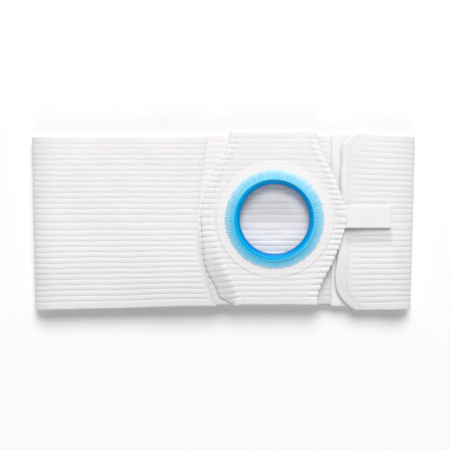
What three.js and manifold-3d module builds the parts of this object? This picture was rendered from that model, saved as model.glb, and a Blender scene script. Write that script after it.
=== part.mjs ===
import * as THREE from 'three';
import { mergeVertices } from 'three/addons/utils/BufferGeometryUtils.js';
import Module from 'manifold-3d';

// A hernia belt lying closed and flat: a wide ribbed elastic bent round into a loop, a front panel
// with a ringed opening, and a fastening at its right side. Millimetres, Z up. X runs along the belt,
// Y across its width. Places are taken from the belt's middle, and the finished belt is then centred.

// Band
const LAID_LENGTH = 334;
const BELT_WIDTH = 152;
const RIB_PITCH = 4.8;
const CENTRE_RIB = 7;
const SELVEDGE = 6.6;
const RIB_THICKNESS = 2.2;
const GROOVE_THICKNESS = 1.2;
const LEFT_FOLD_HEIGHT = 15.5;
const RIGHT_FOLD_HEIGHT = 16;
const FOLD_REACH = 13;
const LEFT_FOLD_SLANT = 3.2;
const RIGHT_FOLD_SLANT = 4.2;
const FRONT_SAG = 1.4;

// Lap at the left of the panel
const LAP_GAP = 3.2;
const LAP_LENGTH = 20;
const LAP_RISE_TOP = 9;
const LAP_RISE_BOTTOM = 16.5;
const LAP_CURVE = 1.7;

// Free end at the right
const RIGHT_PIECE = 65.2;
const TIP_LAP = 5.5;
const END_SHAPE = 15;
const BINDING_THICKNESS = 1.9;

// Panel and carrier
const FRONT_HEIGHT = 18.2;
const EDGE_DROOP = 1.6;
const PANEL_WIDTH = 126.8;
const PANEL_HEIGHT = 153;
const PANEL_THICKNESS = 2;
const PANEL_GROOVE = 1.2;
const PANEL_RAISE = 4.4;
const TIP_LIFT = 2.5;
const PUCKER_WIDTH = 10;
const PUCKER_REACH = 0.9;
const CARRIER_WIDTH = 146.5;
const CARRIER_THICKNESS = 2;
const CARRIER_GROOVE = 1.2;
const DIP_LENGTH = 28;

// Opening
const OPENING_DIAMETER = 61;
const OPENING_ASIDE = 0.8;
const OPENING_DROP = 1.2;
const SLEEVE_WALL = 1.6;
const RING_WIDTH = 6.5;
const RING_HEIGHT = 3.4;
const PATCH_DIAMETER = 103;
const PATCH_THICKNESS = 1;

// Fastening and tab
const LOOP_SHOWS = 6.6;
const LOOP_LENGTH = 41;
const LOOP_WIDTH = 152;
const LOOP_THICKNESS = 0.9;
const HOOK_INSET = 3;
const HOOK_LENGTH = 30;
const HOOK_WIDTH = 122;
const HOOK_THICKNESS = 0.9;
const TAB_LENGTH = 46;
const TAB_UNDER_TIP = 6.4;
const TAB_WIDTH = 19.8;
const TAB_THICKNESS = 1.4;
const TAB_FALL = 1;
const TAB_RAISE = 0.8;

// Fits
const GAP = 0.3;
const EDGE_ROUND = 0.7;

// Steps in the rounded and bent stretches
const ROUND_STEPS = 40;
const FRONT_STEPS = 4;
const FOLD_STEPS = 6;
const BACK_STEPS = 3;

// Edges of the band at the ends of its front and back stretches, as shares of its half width.
const BAND_EDGES = {
  lap: { top: 1, bottom: 0.968 },
  leftFold: { top: 1, bottom: 1.018 },
  rightFold: { top: 0.98, bottom: 0.976 },
  freeEnd: { top: 1.036, bottom: 1.022 },
};

// The free end from its bottom edge to its top edge. Across is a share of the band's half width. Edge and
// ribs are how far back the cut edge and the ends of the ribs lie, as shares of the end's shaped length.
const FREE_END = [
  { across: -1, edge: 0.95, ribs: 1.4 },
  { across: -0.9, edge: 0.32, ribs: 1.05 },
  { across: -0.8, edge: -0.05, ribs: 0.6 },
  { across: -0.64, edge: -0.24, ribs: 0.48 },
  { across: -0.45, edge: -0.14, ribs: 0.49 },
  { across: -0.1, edge: 0.08, ribs: 0.5 },
  { across: 0.3, edge: 0.03, ribs: 0.5 },
  { across: 0.62, edge: 0.06, ribs: 0.55 },
  { across: 0.72, edge: 0.1, ribs: 0.95 },
  { across: 0.876, edge: 0.21, ribs: 1.4 },
  { across: 1, edge: 0.88, ribs: 1.6 },
];

// Panel outline from its middle to its top and bottom edges, as shares of its half height and half width.
const PANEL_OUTLINE = [
  { height: 0, width: 1 },
  { height: 0.25, width: 0.938 },
  { height: 0.575, width: 0.79 },
  { height: 0.77, width: 0.66 },
  { height: 0.92, width: 0.6 },
  { height: 1, width: 0.597 },
];

// Puckered border of the panel, inwards from its edge. Inset is a share of the border's width, crest and
// groove are shares of the panel's thickness there, and reach is how far a rib stands out sideways.
const PUCKER = [
  { inset: 0, crest: 0.6, groove: 0.5, reach: 1 },
  { inset: 0.35, crest: 1.45, groove: 0.8, reach: 0.6 },
  { inset: 0.7, crest: 1.25, groove: 0.7, reach: 0 },
  { inset: 1, crest: 0.8, groove: 0.9, reach: 0 },
  { inset: 1.35, crest: 1, groove: 1, reach: 0 },
];

// Section of the ring outside its sleeve. Out is a share of the ring's width, up of its height.
const RING_SECTION = [
  { out: 1, up: 0 },
  { out: 1, up: 0.4 },
  { out: 0.93, up: 0.74 },
  { out: 0.79, up: 0.96 },
  { out: 0.66, up: 1 },
  { out: 0.53, up: 0.93 },
  { out: 0.42, up: 0.72 },
  { out: 0.22, up: 0.55 },
  { out: 0.06, up: 0.42 },
  { out: 0, up: 0.24 },
];

// Places worked out from the sizes above
const leftFoldX = -LAID_LENGTH / 2;
const rightFoldX = LAID_LENGTH / 2;
const backMid = RIB_THICKNESS / 2;
const leftFoldTop = LEFT_FOLD_HEIGHT - RIB_THICKNESS / 2;
const rightFoldTop = RIGHT_FOLD_HEIGHT - RIB_THICKNESS / 2;
const freeEndX = rightFoldX - RIGHT_PIECE;
const panelTipX = freeEndX + TIP_LAP;
const panelX = panelTipX - PANEL_WIDTH / 2;
const panelY = PANEL_RAISE;
const lapEdgeX = panelX - PANEL_WIDTH / 2 - LAP_GAP;
const carrierLeft = lapEdgeX - LAP_LENGTH;
const loopLeft = freeEndX - LOOP_SHOWS;
const loopRight = loopLeft + LOOP_LENGTH;
const carrierRight = loopRight + GAP;
const ringX = panelX + OPENING_ASIDE;
const ringY = panelY - OPENING_DROP;
const openingRadius = OPENING_DIAMETER / 2;
const holeRadius = openingRadius + SLEEVE_WALL + GAP;
const fasteningStack = LOOP_THICKNESS + HOOK_THICKNESS + RIB_THICKNESS + TAB_THICKNESS + 4 * GAP;

const wasm = await Module();
wasm.setup();

const { clamp, lerp, smoothstep } = THREE.MathUtils;

// Value of one column of a table at a place between its rows.
function fromTable(table, key, column, place) {
  const at = clamp(place, table[0][key], table.at(-1)[key]);
  const next = Math.max(1, table.findIndex((row) => row[key] >= at));
  const [low, high] = [table[next - 1], table[next]];
  return lerp(low[column], high[column], (at - low[key]) / (high[key] - low[key]));
}

// Middle heights of the layers at the front, one over the other.
function panelMid(y) {
  const beyond = Math.max(0, Math.abs(y - ringY) - PATCH_DIAMETER / 2);
  return FRONT_HEIGHT - EDGE_DROOP * (beyond / (PANEL_HEIGHT / 2 - PATCH_DIAMETER / 2)) ** 2;
}

function carrierMid(x, y) {
  const dip = fasteningStack * smoothstep(x, loopLeft - DIP_LENGTH, loopLeft);
  return panelMid(y) - PANEL_THICKNESS / 2 - GAP - CARRIER_THICKNESS / 2 - dip;
}

function lapMid(x, y) {
  return carrierMid(x, y) + CARRIER_THICKNESS / 2 + GAP + RIB_THICKNESS / 2;
}

function loopMid(x, y) {
  return carrierMid(x, y) + CARRIER_THICKNESS / 2 + GAP + LOOP_THICKNESS / 2;
}

function hookMid(x, y) {
  return loopMid(x, y) + LOOP_THICKNESS / 2 + GAP + HOOK_THICKNESS / 2;
}

function freeEndMid(x, y) {
  return hookMid(x, y) + HOOK_THICKNESS / 2 + GAP + RIB_THICKNESS / 2;
}

// The panel's tip lifts off over the free end, and the tab leaves from under it and falls a little.
function tipLift(x) {
  return TIP_LIFT * smoothstep(x, ringX + PATCH_DIAMETER / 2, panelTipX);
}

function tabMid(x, y) {
  const fall = TAB_FALL * smoothstep(x, panelTipX, panelTipX + TAB_LENGTH - TAB_UNDER_TIP);
  return panelMid(y) + tipLift(x) - PANEL_THICKNESS / 2 - GAP - TAB_THICKNESS / 2 - fall;
}

// Rows across a ribbed elastic from its bottom edge to its top edge: grooves and crests in turn,
// two wide ribs at the middle and a flat selvedge at each side.
function ribbedRows(width, crest, groove) {
  const room = width / 2 - CENTRE_RIB - SELVEDGE;
  const count = Math.round(room / RIB_PITCH);
  const grooves = [0];
  for (let rib = 0; rib <= count; rib += 1) grooves.push(CENTRE_RIB + (room * rib) / count);
  const upper = [{ y: 0, half: groove / 2, crest: false }];
  for (let rib = 1; rib < grooves.length; rib += 1) {
    upper.push({ y: (grooves[rib - 1] + grooves[rib]) / 2, half: crest / 2, crest: true });
    upper.push({ y: grooves[rib], half: groove / 2, crest: false });
  }
  upper.push({ y: width / 2 - SELVEDGE + EDGE_ROUND, half: crest / 2, crest: true });
  upper.push({ y: width / 2 - EDGE_ROUND, half: crest / 2, crest: true });
  upper.push({ y: width / 2, half: groove / 2, crest: false });
  const lower = upper.slice(1).map((row) => ({ ...row, y: -row.y }));
  return [...lower.reverse(), ...upper];
}

// Rows across a smooth sheet, closer together towards its rounded corners.
function plainRows(width, thickness, count) {
  const rows = [];
  for (let row = 0; row <= count; row += 1) {
    const turn = -Math.cos((Math.PI * row) / count);
    const edge = row === 0 || row === count;
    rows.push({ y: (turn * width) / 2, half: (thickness / 2) * (edge ? 0.5 : 1), crest: false });
  }
  return rows;
}

// Closed sheet from rows across its upper and lower faces, carried along its stations.
// place(station, row, side) gives a point, with side 1 on the upper face and -1 on the lower.
function sheetGeometry(upper, lower, stations, place) {
  const loop = [
    ...upper.map((row) => ({ row, side: 1 })),
    ...lower.map((row) => ({ row, side: -1 })).reverse(),
  ];
  const points = stations.flatMap((station) => loop.flatMap(({ row, side }) => place(station, row, side)));
  const faces = [];
  const around = loop.length;
  for (let step = 0; step + 1 < stations.length; step += 1) {
    for (let k = 0; k < around; k += 1) {
      const a = step * around + k;
      const b = step * around + ((k + 1) % around);
      faces.push(a, b, a + around, b, b + around, a + around);
    }
  }
  const last = (stations.length - 1) * around;
  let [i, j] = [0, 0];
  while (i + 1 < upper.length || j + 1 < lower.length) {
    const upperNext = j + 1 === lower.length || (i + 1 < upper.length && upper[i + 1].y <= lower[j + 1].y);
    const [a, b] = [i, around - 1 - j];
    const c = upperNext ? i + 1 : around - 2 - j;
    faces.push(a, b, c, last + a, last + c, last + b);
    if (upperNext) i += 1;
    else j += 1;
  }
  const geometry = new THREE.BufferGeometry();
  geometry.setAttribute('position', new THREE.Float32BufferAttribute(points, 3));
  geometry.setIndex(faces);
  return geometry;
}

function solidOf(geometry) {
  const bare = geometry.clone().deleteAttribute('normal').deleteAttribute('uv');
  const merged = mergeVertices(bare);
  return new wasm.Manifold(
    new wasm.Mesh({
      numProp: 3,
      vertProperties: Float32Array.from(merged.getAttribute('position').array),
      triVerts: Uint32Array.from(merged.getIndex().array),
    }),
  );
}

function geometryOf(solid) {
  const mesh = solid.getMesh();
  const geometry = new THREE.BufferGeometry();
  geometry.setAttribute('position', new THREE.Float32BufferAttribute(mesh.vertProperties, 3));
  geometry.setIndex(Array.from(mesh.triVerts));
  return geometry;
}

// The round hole that the ring's sleeve passes through.
function withOpening(geometry) {
  const depth = 4 * FRONT_HEIGHT;
  const hole = new THREE.CylinderGeometry(holeRadius, holeRadius, depth, ROUND_STEPS);
  hole.rotateX(Math.PI / 2).translate(ringX, ringY, FRONT_HEIGHT);
  return geometryOf(solidOf(geometry).subtract(solidOf(hole)));
}

// Where the folds lie in the row at height y: the top edge reaches further than the bottom edge.
function leftFoldAt(y) {
  return leftFoldX - (LEFT_FOLD_SLANT * y) / BELT_WIDTH + RIB_THICKNESS / 2;
}

function rightFoldAt(y) {
  return rightFoldX + (RIGHT_FOLD_SLANT * y) / BELT_WIDTH - RIB_THICKNESS / 2;
}

// The band's left end, cut to a shallow curve that clears the panel.
function lapEdgeAt(y) {
  const rise = y > 0 ? LAP_RISE_TOP : LAP_RISE_BOTTOM;
  return lapEdgeX + rise * Math.abs((2 * y) / BELT_WIDTH) ** LAP_CURVE;
}

// The shaped right end: its cut edge, and the line where the ribs stop and the binding starts.
function cutEndAt(y) {
  return freeEndX + END_SHAPE * fromTable(FREE_END, 'across', 'edge', (2 * y) / BELT_WIDTH);
}

function ribEndAt(y) {
  return freeEndX + END_SHAPE * fromTable(FREE_END, 'across', 'ribs', (2 * y) / BELT_WIDTH);
}

// Height of the band's front layer from the left fold to the lap, and from the free end to the right fold.
function leftFrontMid(x, y) {
  const from = leftFoldAt(y) + FOLD_REACH;
  const share = smoothstep(x, from, carrierLeft);
  return lerp(leftFoldTop, lapMid(carrierLeft, y), share) - FRONT_SAG * 4 * share * (1 - share);
}

function rightFrontMid(x, y) {
  const to = rightFoldAt(y) - FOLD_REACH;
  return lerp(freeEndMid(loopLeft, y), rightFoldTop, smoothstep(x, carrierRight + GAP, to));
}

// The band's three stretches: each runs from one place to another, and its edges aren't quite parallel.
const leftFront = { from: lapEdgeX, to: leftFoldX, edges: [BAND_EDGES.lap, BAND_EDGES.leftFold] };
const back = { from: leftFoldX, to: rightFoldX, edges: [BAND_EDGES.leftFold, BAND_EDGES.rightFold] };
const rightFront = { from: rightFoldX, to: freeEndX, edges: [BAND_EDGES.rightFold, BAND_EDGES.freeEnd] };

function spread(stretch, x, y) {
  const column = y > 0 ? 'top' : 'bottom';
  const share = (x - stretch.from) / (stretch.to - stretch.from);
  return y * lerp(stretch.edges[0][column], stretch.edges[1][column], share);
}

// Stations along the band. Each one gives, for a row, a point of the middle surface and its outward normal.
function flatStations({ stretch, from, to, steps, height, facing }) {
  return steps.map((share) => ({
    stretch,
    at: (y) => {
      const x = lerp(from(y), to(y), share);
      return { x, z: height(x, y), nx: 0, nz: facing };
    },
  }));
}

function foldStations({ stretch, foldAt, side, top, steps }) {
  const rise = (top - backMid) / 2;
  return steps.map((share) => {
    const [out, up] = [Math.sin(Math.PI * share), -side * Math.cos(Math.PI * share)];
    const length = Math.hypot(rise * out, FOLD_REACH * up);
    const across = (y) => foldAt(y) - side * FOLD_REACH * (1 - out);
    const normal = { nx: (side * rise * out) / length, nz: (FOLD_REACH * up) / length };
    return { stretch, at: (y) => ({ x: across(y), z: backMid + rise * (1 + up), ...normal }) };
  });
}

function shares(count, first) {
  return Array.from({ length: count - first + 1 }, (_, step) => (step + first) / count);
}

function bandStations() {
  const leftTop = (y) => leftFoldAt(y) + FOLD_REACH;
  const rightTop = (y) => rightFoldAt(y) - FOLD_REACH;
  const lapStart = () => carrierLeft - GAP;
  const stackEnd = () => carrierRight + GAP;
  const atLap = (x, y) => lapMid(carrierLeft, y);
  const atEnd = (x, y) => freeEndMid(loopLeft, y);
  const lap = { stretch: leftFront, from: lapEdgeAt, to: lapStart, height: atLap };
  const left = { stretch: leftFront, from: lapStart, to: leftTop, height: leftFrontMid };
  const under = { stretch: back, from: leftTop, to: rightTop, height: () => backMid };
  const right = { stretch: rightFront, from: rightTop, to: stackEnd, height: rightFrontMid };
  const end = { stretch: rightFront, from: stackEnd, to: ribEndAt, height: atEnd };
  const leftFold = { stretch: leftFront, foldAt: leftFoldAt, side: -1, top: leftFoldTop };
  const rightFold = { stretch: rightFront, foldAt: rightFoldAt, side: 1, top: rightFoldTop };
  return [
    ...flatStations({ ...lap, steps: [0], facing: 1 }),
    ...flatStations({ ...left, steps: shares(FRONT_STEPS, 0), facing: 1 }),
    ...foldStations({ ...leftFold, steps: shares(FOLD_STEPS, 1) }),
    ...flatStations({ ...under, steps: shares(BACK_STEPS, 1), facing: -1 }),
    ...foldStations({ ...rightFold, steps: shares(FOLD_STEPS, 1) }),
    ...flatStations({ ...right, steps: shares(2, 1), facing: 1 }),
    ...flatStations({ ...end, steps: [1], facing: 1 }),
  ];
}

function beltBand() {
  const rows = ribbedRows(BELT_WIDTH, RIB_THICKNESS, GROOVE_THICKNESS);
  return sheetGeometry(rows, rows, bandStations(), (station, row, side) => {
    const { x, z, nx, nz } = station.at(row.y);
    const out = side * row.half;
    return [x + out * nx, spread(station.stretch, x, row.y), z + out * nz];
  });
}

function endBinding() {
  const rows = ribbedRows(BELT_WIDTH, BINDING_THICKNESS, BINDING_THICKNESS);
  const stations = [
    { share: 1, thin: 0.95 },
    { share: 0, thin: 0.6 },
  ];
  return sheetGeometry(rows, rows, stations, (station, row, side) => {
    const x = lerp(cutEndAt(row.y), ribEndAt(row.y) - GAP, station.share);
    return [x, spread(rightFront, x, row.y), freeEndMid(loopLeft, row.y) + side * row.half * station.thin];
  });
}

function frontCarrier() {
  const upper = ribbedRows(CARRIER_WIDTH, CARRIER_THICKNESS, CARRIER_GROOVE);
  const lower = plainRows(CARRIER_WIDTH, CARRIER_THICKNESS, 8);
  const dipStart = loopLeft - DIP_LENGTH;
  const stations = [
    carrierRight,
    loopLeft,
    ...[0.8, 0.6, 0.4, 0.2, 0].map((share) => dipStart + share * DIP_LENGTH),
    ringX,
    carrierLeft,
  ];
  const flat = sheetGeometry(upper, lower, stations, (x, row, side) => {
    const y = panelY + row.y;
    return [x, y, carrierMid(x, y) + side * row.half];
  });
  return withOpening(flat);
}

function supportPanel() {
  const upper = ribbedRows(PANEL_HEIGHT, PANEL_THICKNESS, PANEL_GROOVE);
  const lower = plainRows(PANEL_HEIGHT, PANEL_THICKNESS, 12);
  const border = PUCKER.map((pucker) => ({ side: 1, pucker }));
  const stations = [
    ...border,
    ...[0.5, 0, -0.5].map((share) => ({ side: share, pucker: PUCKER.at(-1) })),
    ...border.map((station) => ({ ...station, side: -1 })).reverse(),
  ];
  const flat = sheetGeometry(upper, lower, stations, ({ side, pucker }, row, face) => {
    const share = Math.abs((2 * row.y) / PANEL_HEIGHT);
    const half = (PANEL_WIDTH / 2) * fromTable(PANEL_OUTLINE, 'height', 'width', share);
    const reach = face > 0 && row.crest ? PUCKER_REACH * pucker.reach : 0;
    const thin = row.crest ? pucker.crest : pucker.groove;
    const up = face > 0 ? row.half * thin : -row.half * Math.min(1, pucker.crest);
    const x = panelX + side * (half - PUCKER_WIDTH * pucker.inset + reach);
    const y = panelY + row.y;
    return [x, y, panelMid(y) + tipLift(x) + up];
  });
  return withOpening(flat);
}

// Ring turned about the opening's axis, from a section in radius and height.
function turned(section, z) {
  const closed = [...section, section[0]].map(([radius, height]) => new THREE.Vector2(radius, height));
  const geometry = new THREE.LatheGeometry(closed, ROUND_STEPS);
  return geometry.rotateX(Math.PI / 2).translate(ringX, ringY, z);
}

function openingPatch() {
  const RIM = 3;
  const RIM_RISE = 1.35;
  const radius = PATCH_DIAMETER / 2;
  const section = [
    [holeRadius, 0],
    [radius, 0],
    [radius, PATCH_THICKNESS * 0.6],
    [radius - RIM / 3, PATCH_THICKNESS * RIM_RISE],
    [radius - RIM, PATCH_THICKNESS],
    [holeRadius, PATCH_THICKNESS],
  ];
  return turned(section, FRONT_HEIGHT + PANEL_THICKNESS / 2 + GAP);
}

function openingRing() {
  const seat = PANEL_THICKNESS / 2 + GAP + PATCH_THICKNESS + GAP;
  const sleeve = seat + PANEL_THICKNESS / 2 + GAP + CARRIER_THICKNESS + GAP;
  const section = [
    [openingRadius, -sleeve],
    [openingRadius + SLEEVE_WALL, -sleeve],
    [openingRadius + SLEEVE_WALL, 0],
    ...RING_SECTION.map(({ out, up }) => [openingRadius + out * RING_WIDTH, up * RING_HEIGHT]),
  ];
  return turned(section, FRONT_HEIGHT + seat);
}

// Plain patch of even thickness that follows the layers it lies between.
function patchSheet({ from, to, y, width, thickness, mid, rows = 10 }) {
  const across = plainRows(width, thickness, rows);
  return sheetGeometry(across, across, [to, from], (x, row, side) => [
    x,
    y + row.y,
    mid(x, y + row.y) + side * row.half,
  ]);
}

function loopPatch() {
  return patchSheet({
    from: loopLeft,
    to: loopRight,
    y: PANEL_RAISE / 2,
    width: LOOP_WIDTH,
    thickness: LOOP_THICKNESS,
    mid: loopMid,
  });
}

function hookPatch() {
  return patchSheet({
    from: freeEndX + HOOK_INSET,
    to: freeEndX + HOOK_INSET + HOOK_LENGTH,
    y: PANEL_RAISE / 2,
    width: HOOK_WIDTH,
    thickness: HOOK_THICKNESS,
    mid: hookMid,
  });
}

// Doubled tape with its fold at the outer end and its stitched end under the panel's tip.
function pullTab() {
  const rows = plainRows(TAB_WIDTH, TAB_THICKNESS, 8);
  const start = panelTipX - TAB_UNDER_TIP;
  const stations = [
    { share: 1, thin: 0.35 },
    { share: 0.985, thin: 0.85 },
    { share: 0.96, thin: 1 },
    { share: 0.75, thin: 1 },
    { share: 0.5, thin: 1 },
    { share: 0.3, thin: 1 },
    { share: 0, thin: 1 },
  ];
  return sheetGeometry(rows, rows, stations, ({ share, thin }, row, side) => {
    const x = start + TAB_LENGTH * share;
    const y = panelY + TAB_RAISE + row.y;
    return [x, y, tabMid(x, y) + side * row.half * thin];
  });
}

const whiteElastic = { color: 0xf3f3f1, roughness: 0.85, metalness: 0 };
const whiteFabric = { color: 0xf7f7f6, roughness: 0.8, metalness: 0 };
const whiteTape = { color: 0xfafafa, roughness: 0.7, metalness: 0 };
const bluePlastic = { color: 0x0d9de6, roughness: 0.4, metalness: 0 };

const belt = new THREE.Group();

function addPiece(name, geometry, finish) {
  geometry.computeVertexNormals();
  const mesh = new THREE.Mesh(geometry, new THREE.MeshStandardMaterial(finish));
  mesh.name = name;
  belt.add(mesh);
}

addPiece('belt_band', beltBand(), whiteElastic);
addPiece('end_binding', endBinding(), whiteTape);
addPiece('front_carrier', frontCarrier(), whiteElastic);
addPiece('support_panel', supportPanel(), whiteElastic);
addPiece('opening_patch', openingPatch(), whiteFabric);
addPiece('opening_ring', openingRing(), bluePlastic);
addPiece('loop_patch', loopPatch(), whiteFabric);
addPiece('hook_patch', hookPatch(), whiteFabric);
addPiece('pull_tab', pullTab(), whiteTape);

// The origin is under the middle of the belt's outline, on the surface it lies on.
const outline = new THREE.Box3().setFromObject(belt);
const middle = outline.getCenter(new THREE.Vector3());
belt.position.set(-middle.x, -middle.y, -outline.min.z);

const placed = new THREE.Group();
placed.add(belt);

export default placed;
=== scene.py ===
"""Looks of a hernia belt that lies closed and flat on a pale floor.

A wide ribbed elastic is bent round into a loop. A puckered panel with a ringed opening lies on its front,
and a shaped free end with a pull tab closes it at the right. Sizes are in metres, in the frame of the solids.
"""

import math
import random

import bpy
import numpy as np
from bpy.props import FloatProperty, FloatVectorProperty, IntProperty, PointerProperty
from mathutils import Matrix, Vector


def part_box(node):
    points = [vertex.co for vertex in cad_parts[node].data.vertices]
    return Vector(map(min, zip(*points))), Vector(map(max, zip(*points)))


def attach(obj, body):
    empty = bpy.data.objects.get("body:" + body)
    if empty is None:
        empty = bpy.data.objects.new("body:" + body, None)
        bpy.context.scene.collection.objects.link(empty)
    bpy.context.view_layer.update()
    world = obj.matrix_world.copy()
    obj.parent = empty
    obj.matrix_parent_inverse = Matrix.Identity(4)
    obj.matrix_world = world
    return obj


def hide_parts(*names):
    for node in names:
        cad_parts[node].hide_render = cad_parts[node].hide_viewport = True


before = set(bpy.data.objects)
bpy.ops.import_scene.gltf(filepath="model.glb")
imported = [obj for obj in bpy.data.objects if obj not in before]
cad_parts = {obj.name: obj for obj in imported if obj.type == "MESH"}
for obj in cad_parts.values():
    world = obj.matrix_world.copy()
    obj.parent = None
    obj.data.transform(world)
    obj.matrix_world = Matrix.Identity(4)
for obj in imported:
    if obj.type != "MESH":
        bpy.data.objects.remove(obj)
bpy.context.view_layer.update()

bl_info = {
    "name": "Hernia belt",
    "version": (1, 0, 0),
    "blender": (4, 5, 0),
    "location": "3D View > Sidebar > Belt",
    "description": "Ribbed elastic support belt with a puckered panel, a ringed opening and a fastening",
    "category": "Add Mesh",
}

BODY = "root"

# Edges of the band at the ends of its front and back stretches, as shares of its half width.
BAND_EDGES = {
    "lap": {"top": 1, "bottom": 0.968},
    "left_fold": {"top": 1, "bottom": 1.018},
    "right_fold": {"top": 1.004, "bottom": 1.008},
    "free_end": {"top": 1.06, "bottom": 1.022},
}

# How far the back stretch's bottom edge draws in at its middle, as a share of the half width.
BACK_DRAWN_IN = 0.05

# The free end from its bottom edge to its top edge. Across is a share of the band's half width. Edge and
# ribs are how far back the cut edge and the ends of the ribs lie, as shares of the end's shaped length.
FREE_END = [
    {"across": -1, "edge": 0.95, "ribs": 1.4},
    {"across": -0.9, "edge": 0.32, "ribs": 1.05},
    {"across": -0.8, "edge": -0.05, "ribs": 0.6},
    {"across": -0.64, "edge": -0.24, "ribs": 0.48},
    {"across": -0.45, "edge": -0.14, "ribs": 0.49},
    {"across": -0.1, "edge": 0.08, "ribs": 0.5},
    {"across": 0.3, "edge": 0.03, "ribs": 0.5},
    {"across": 0.62, "edge": 0.06, "ribs": 0.52},
    {"across": 0.72, "edge": 0.1, "ribs": 0.58},
    {"across": 0.876, "edge": 0.21, "ribs": 0.8},
    {"across": 1, "edge": 0.88, "ribs": 1.35},
]

# Panel outline from its middle to its top and bottom edges, as shares of its half height and half width.
PANEL_OUTLINE = [
    {"height": 0, "width": 1},
    {"height": 0.25, "width": 0.938},
    {"height": 0.575, "width": 0.79},
    {"height": 0.77, "width": 0.66},
    {"height": 0.92, "width": 0.6},
    {"height": 1, "width": 0.597},
]

# Puckered border of the panel, inwards from its edge. Inset is a share of the border's width, crest and
# groove are shares of the panel's thickness there, and reach is how far a rib stands out sideways.
PUCKER = [
    {"inset": 0, "crest": 0.6, "groove": 0.5, "reach": 1},
    {"inset": 0.35, "crest": 1.45, "groove": 0.8, "reach": 0.6},
    {"inset": 0.7, "crest": 1.25, "groove": 0.7, "reach": 0},
    {"inset": 1, "crest": 0.8, "groove": 0.9, "reach": 0},
    {"inset": 1.35, "crest": 1, "groove": 1, "reach": 0},
]

# Section of the ring outside its sleeve. Out is a share of the ring's width, up of its height.
RING_SECTION = [
    {"out": 1, "up": 0},
    {"out": 1, "up": 0.4},
    {"out": 0.93, "up": 0.74},
    {"out": 0.79, "up": 0.96},
    {"out": 0.66, "up": 1},
    {"out": 0.53, "up": 0.93},
    {"out": 0.42, "up": 0.72},
    {"out": 0.22, "up": 0.55},
    {"out": 0.06, "up": 0.42},
    {"out": 0, "up": 0.24},
]


# Slow waves that make the cloth uneven. Along and across are their lengths, and size is how far they go.
WAVES = {
    "band waver": {"seed": 3, "along": 0.12, "across": 0.2, "size": 0.00032},
    "band ripple": {"seed": 4, "along": 0.05, "across": 0.03, "size": 0.0002},
    "band swell": {"seed": 5, "along": 0.035, "across": 0.005, "size": 0.15},
    "front level": {"seed": 11, "along": 0.1, "across": 0.12, "size": 0.00045},
    "back level": {"seed": 12, "along": 0.09, "across": 0.011, "size": 0.00024},
    "back ripple": {"seed": 13, "along": 0.04, "across": 0.02, "size": 0.0002},
    "carrier swell": {"seed": 21, "along": 0.012, "across": 0.006, "size": 0.07},
    "carrier waver": {"seed": 22, "along": 0.05, "across": 1, "size": 0.00012},
    "pucker": {"seed": 31, "along": 2.3, "across": 5, "size": 0.22},
    "panel swell": {"seed": 32, "along": 0.012, "across": 0.006, "size": 0.07},
    "panel waver": {"seed": 33, "along": 0.06, "across": 0.09, "size": 0.0002},
    "strip swell": {"seed": 41, "along": 0.02, "across": 0.016, "size": 0.12},
    "binding pucker": {"seed": 51, "along": 1, "across": 0.006, "size": 0.1},
    "binding level": {"seed": 52, "along": 1, "across": 0.05, "size": 0.0002},
    "tab level": {"seed": 61, "along": 0.03, "across": 0.03, "size": 0.00012},
}
WAVE_COUNT = 6

# Where soft changes of shape and of painted shade start and end, in metres or in shares of what they are
# asked for.
FADES = {
    "tab falls past tip": {"start": -0.001, "end": 0.022},
    "tab lifts past tip": {"start": -0.002, "end": 0.01},
    "tab shade past tip": {"start": -0.003, "end": 0.002},
    "tab shade before end": {"start": -0.003, "end": 0.001},
    "tab shade reach": {"start": 0.018, "end": 0.009},
    "tab shade edge": {"start": -0.002, "end": 0},
    "beside fold": {"start": 0.022, "end": 0.004},
    "belt lower edge": {"start": 0.015, "end": 0.06},
    "behind opening": {"start": 1.3, "end": 0.55},
    "round opening": {"start": 0.9, "end": 0.65},
    "upper right of opening": {"start": 0.027, "end": 0.013},
    "upper half of opening": {"start": -0.014, "end": 0.009},
    "top of opening": {"start": 0.023, "end": 0.014},
    "rib ends": {"start": -0.014, "end": 0.004},
    "lap end": {"start": 0.006, "end": 0.0004},
    "upper half of lap": {"start": -0.03, "end": 0.01},
    "lower half of lap": {"start": 0, "end": 0.03},
    "after left fold": {"start": 0, "end": 0.04},
    "before lap": {"start": 0, "end": 0.03},
    "lower half of carrier": {"start": -0.005, "end": 0.025},
    "carrier ends": {"start": 0.03, "end": 0.04},
    "lower left border": {"start": 0.004, "end": 0.05},
    "lower right border": {"start": -0.01, "end": 0.03},
    "bottom corner": {"start": 0.0765, "end": 0.066},
    "smooth border": {"start": 0.5, "end": 0.15},
    "shaded border": {"start": 0.8, "end": 0.2},
    "panel lower edge": {"start": 0.02, "end": 0.06},
    "patch off ribs": {"start": 0, "end": 2.8},
    "patch rim rises": {"start": 0, "end": 3.2},
    "ring face": {"start": 0.3, "end": 0.52},
    "stitch end": {"start": 0.8, "end": 1},
    "binding upper half": {"start": 0, "end": 0.02},
    "binding lower half": {"start": 0.01, "end": 0.04},
    "binding pressed": {"start": -0.02, "end": 0.012},
    "binding pucker": {"start": 0.3, "end": 0.9},
    "binding before ribs": {"start": -0.004, "end": 0},
}

# How much painted shade darkens the cloth below its own colour in some places, as shares: beside the folds,
# along the lower edges, below the tab, behind the opening, on the lap, at the carrier's ends and along the
# panel's lower left border.
PAINTED_SHADE = {
    "beside fold": 0.06,
    "belt lower edge": 0.055,
    "below tab": 0.16,
    "behind opening": 0.24,
    "lap": 0.12,
    "carrier ends": 0.14,
    "lower left border": 0.17,
    "panel lower edge": 0.03,
    "binding lower half": 0.05,
}

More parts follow.
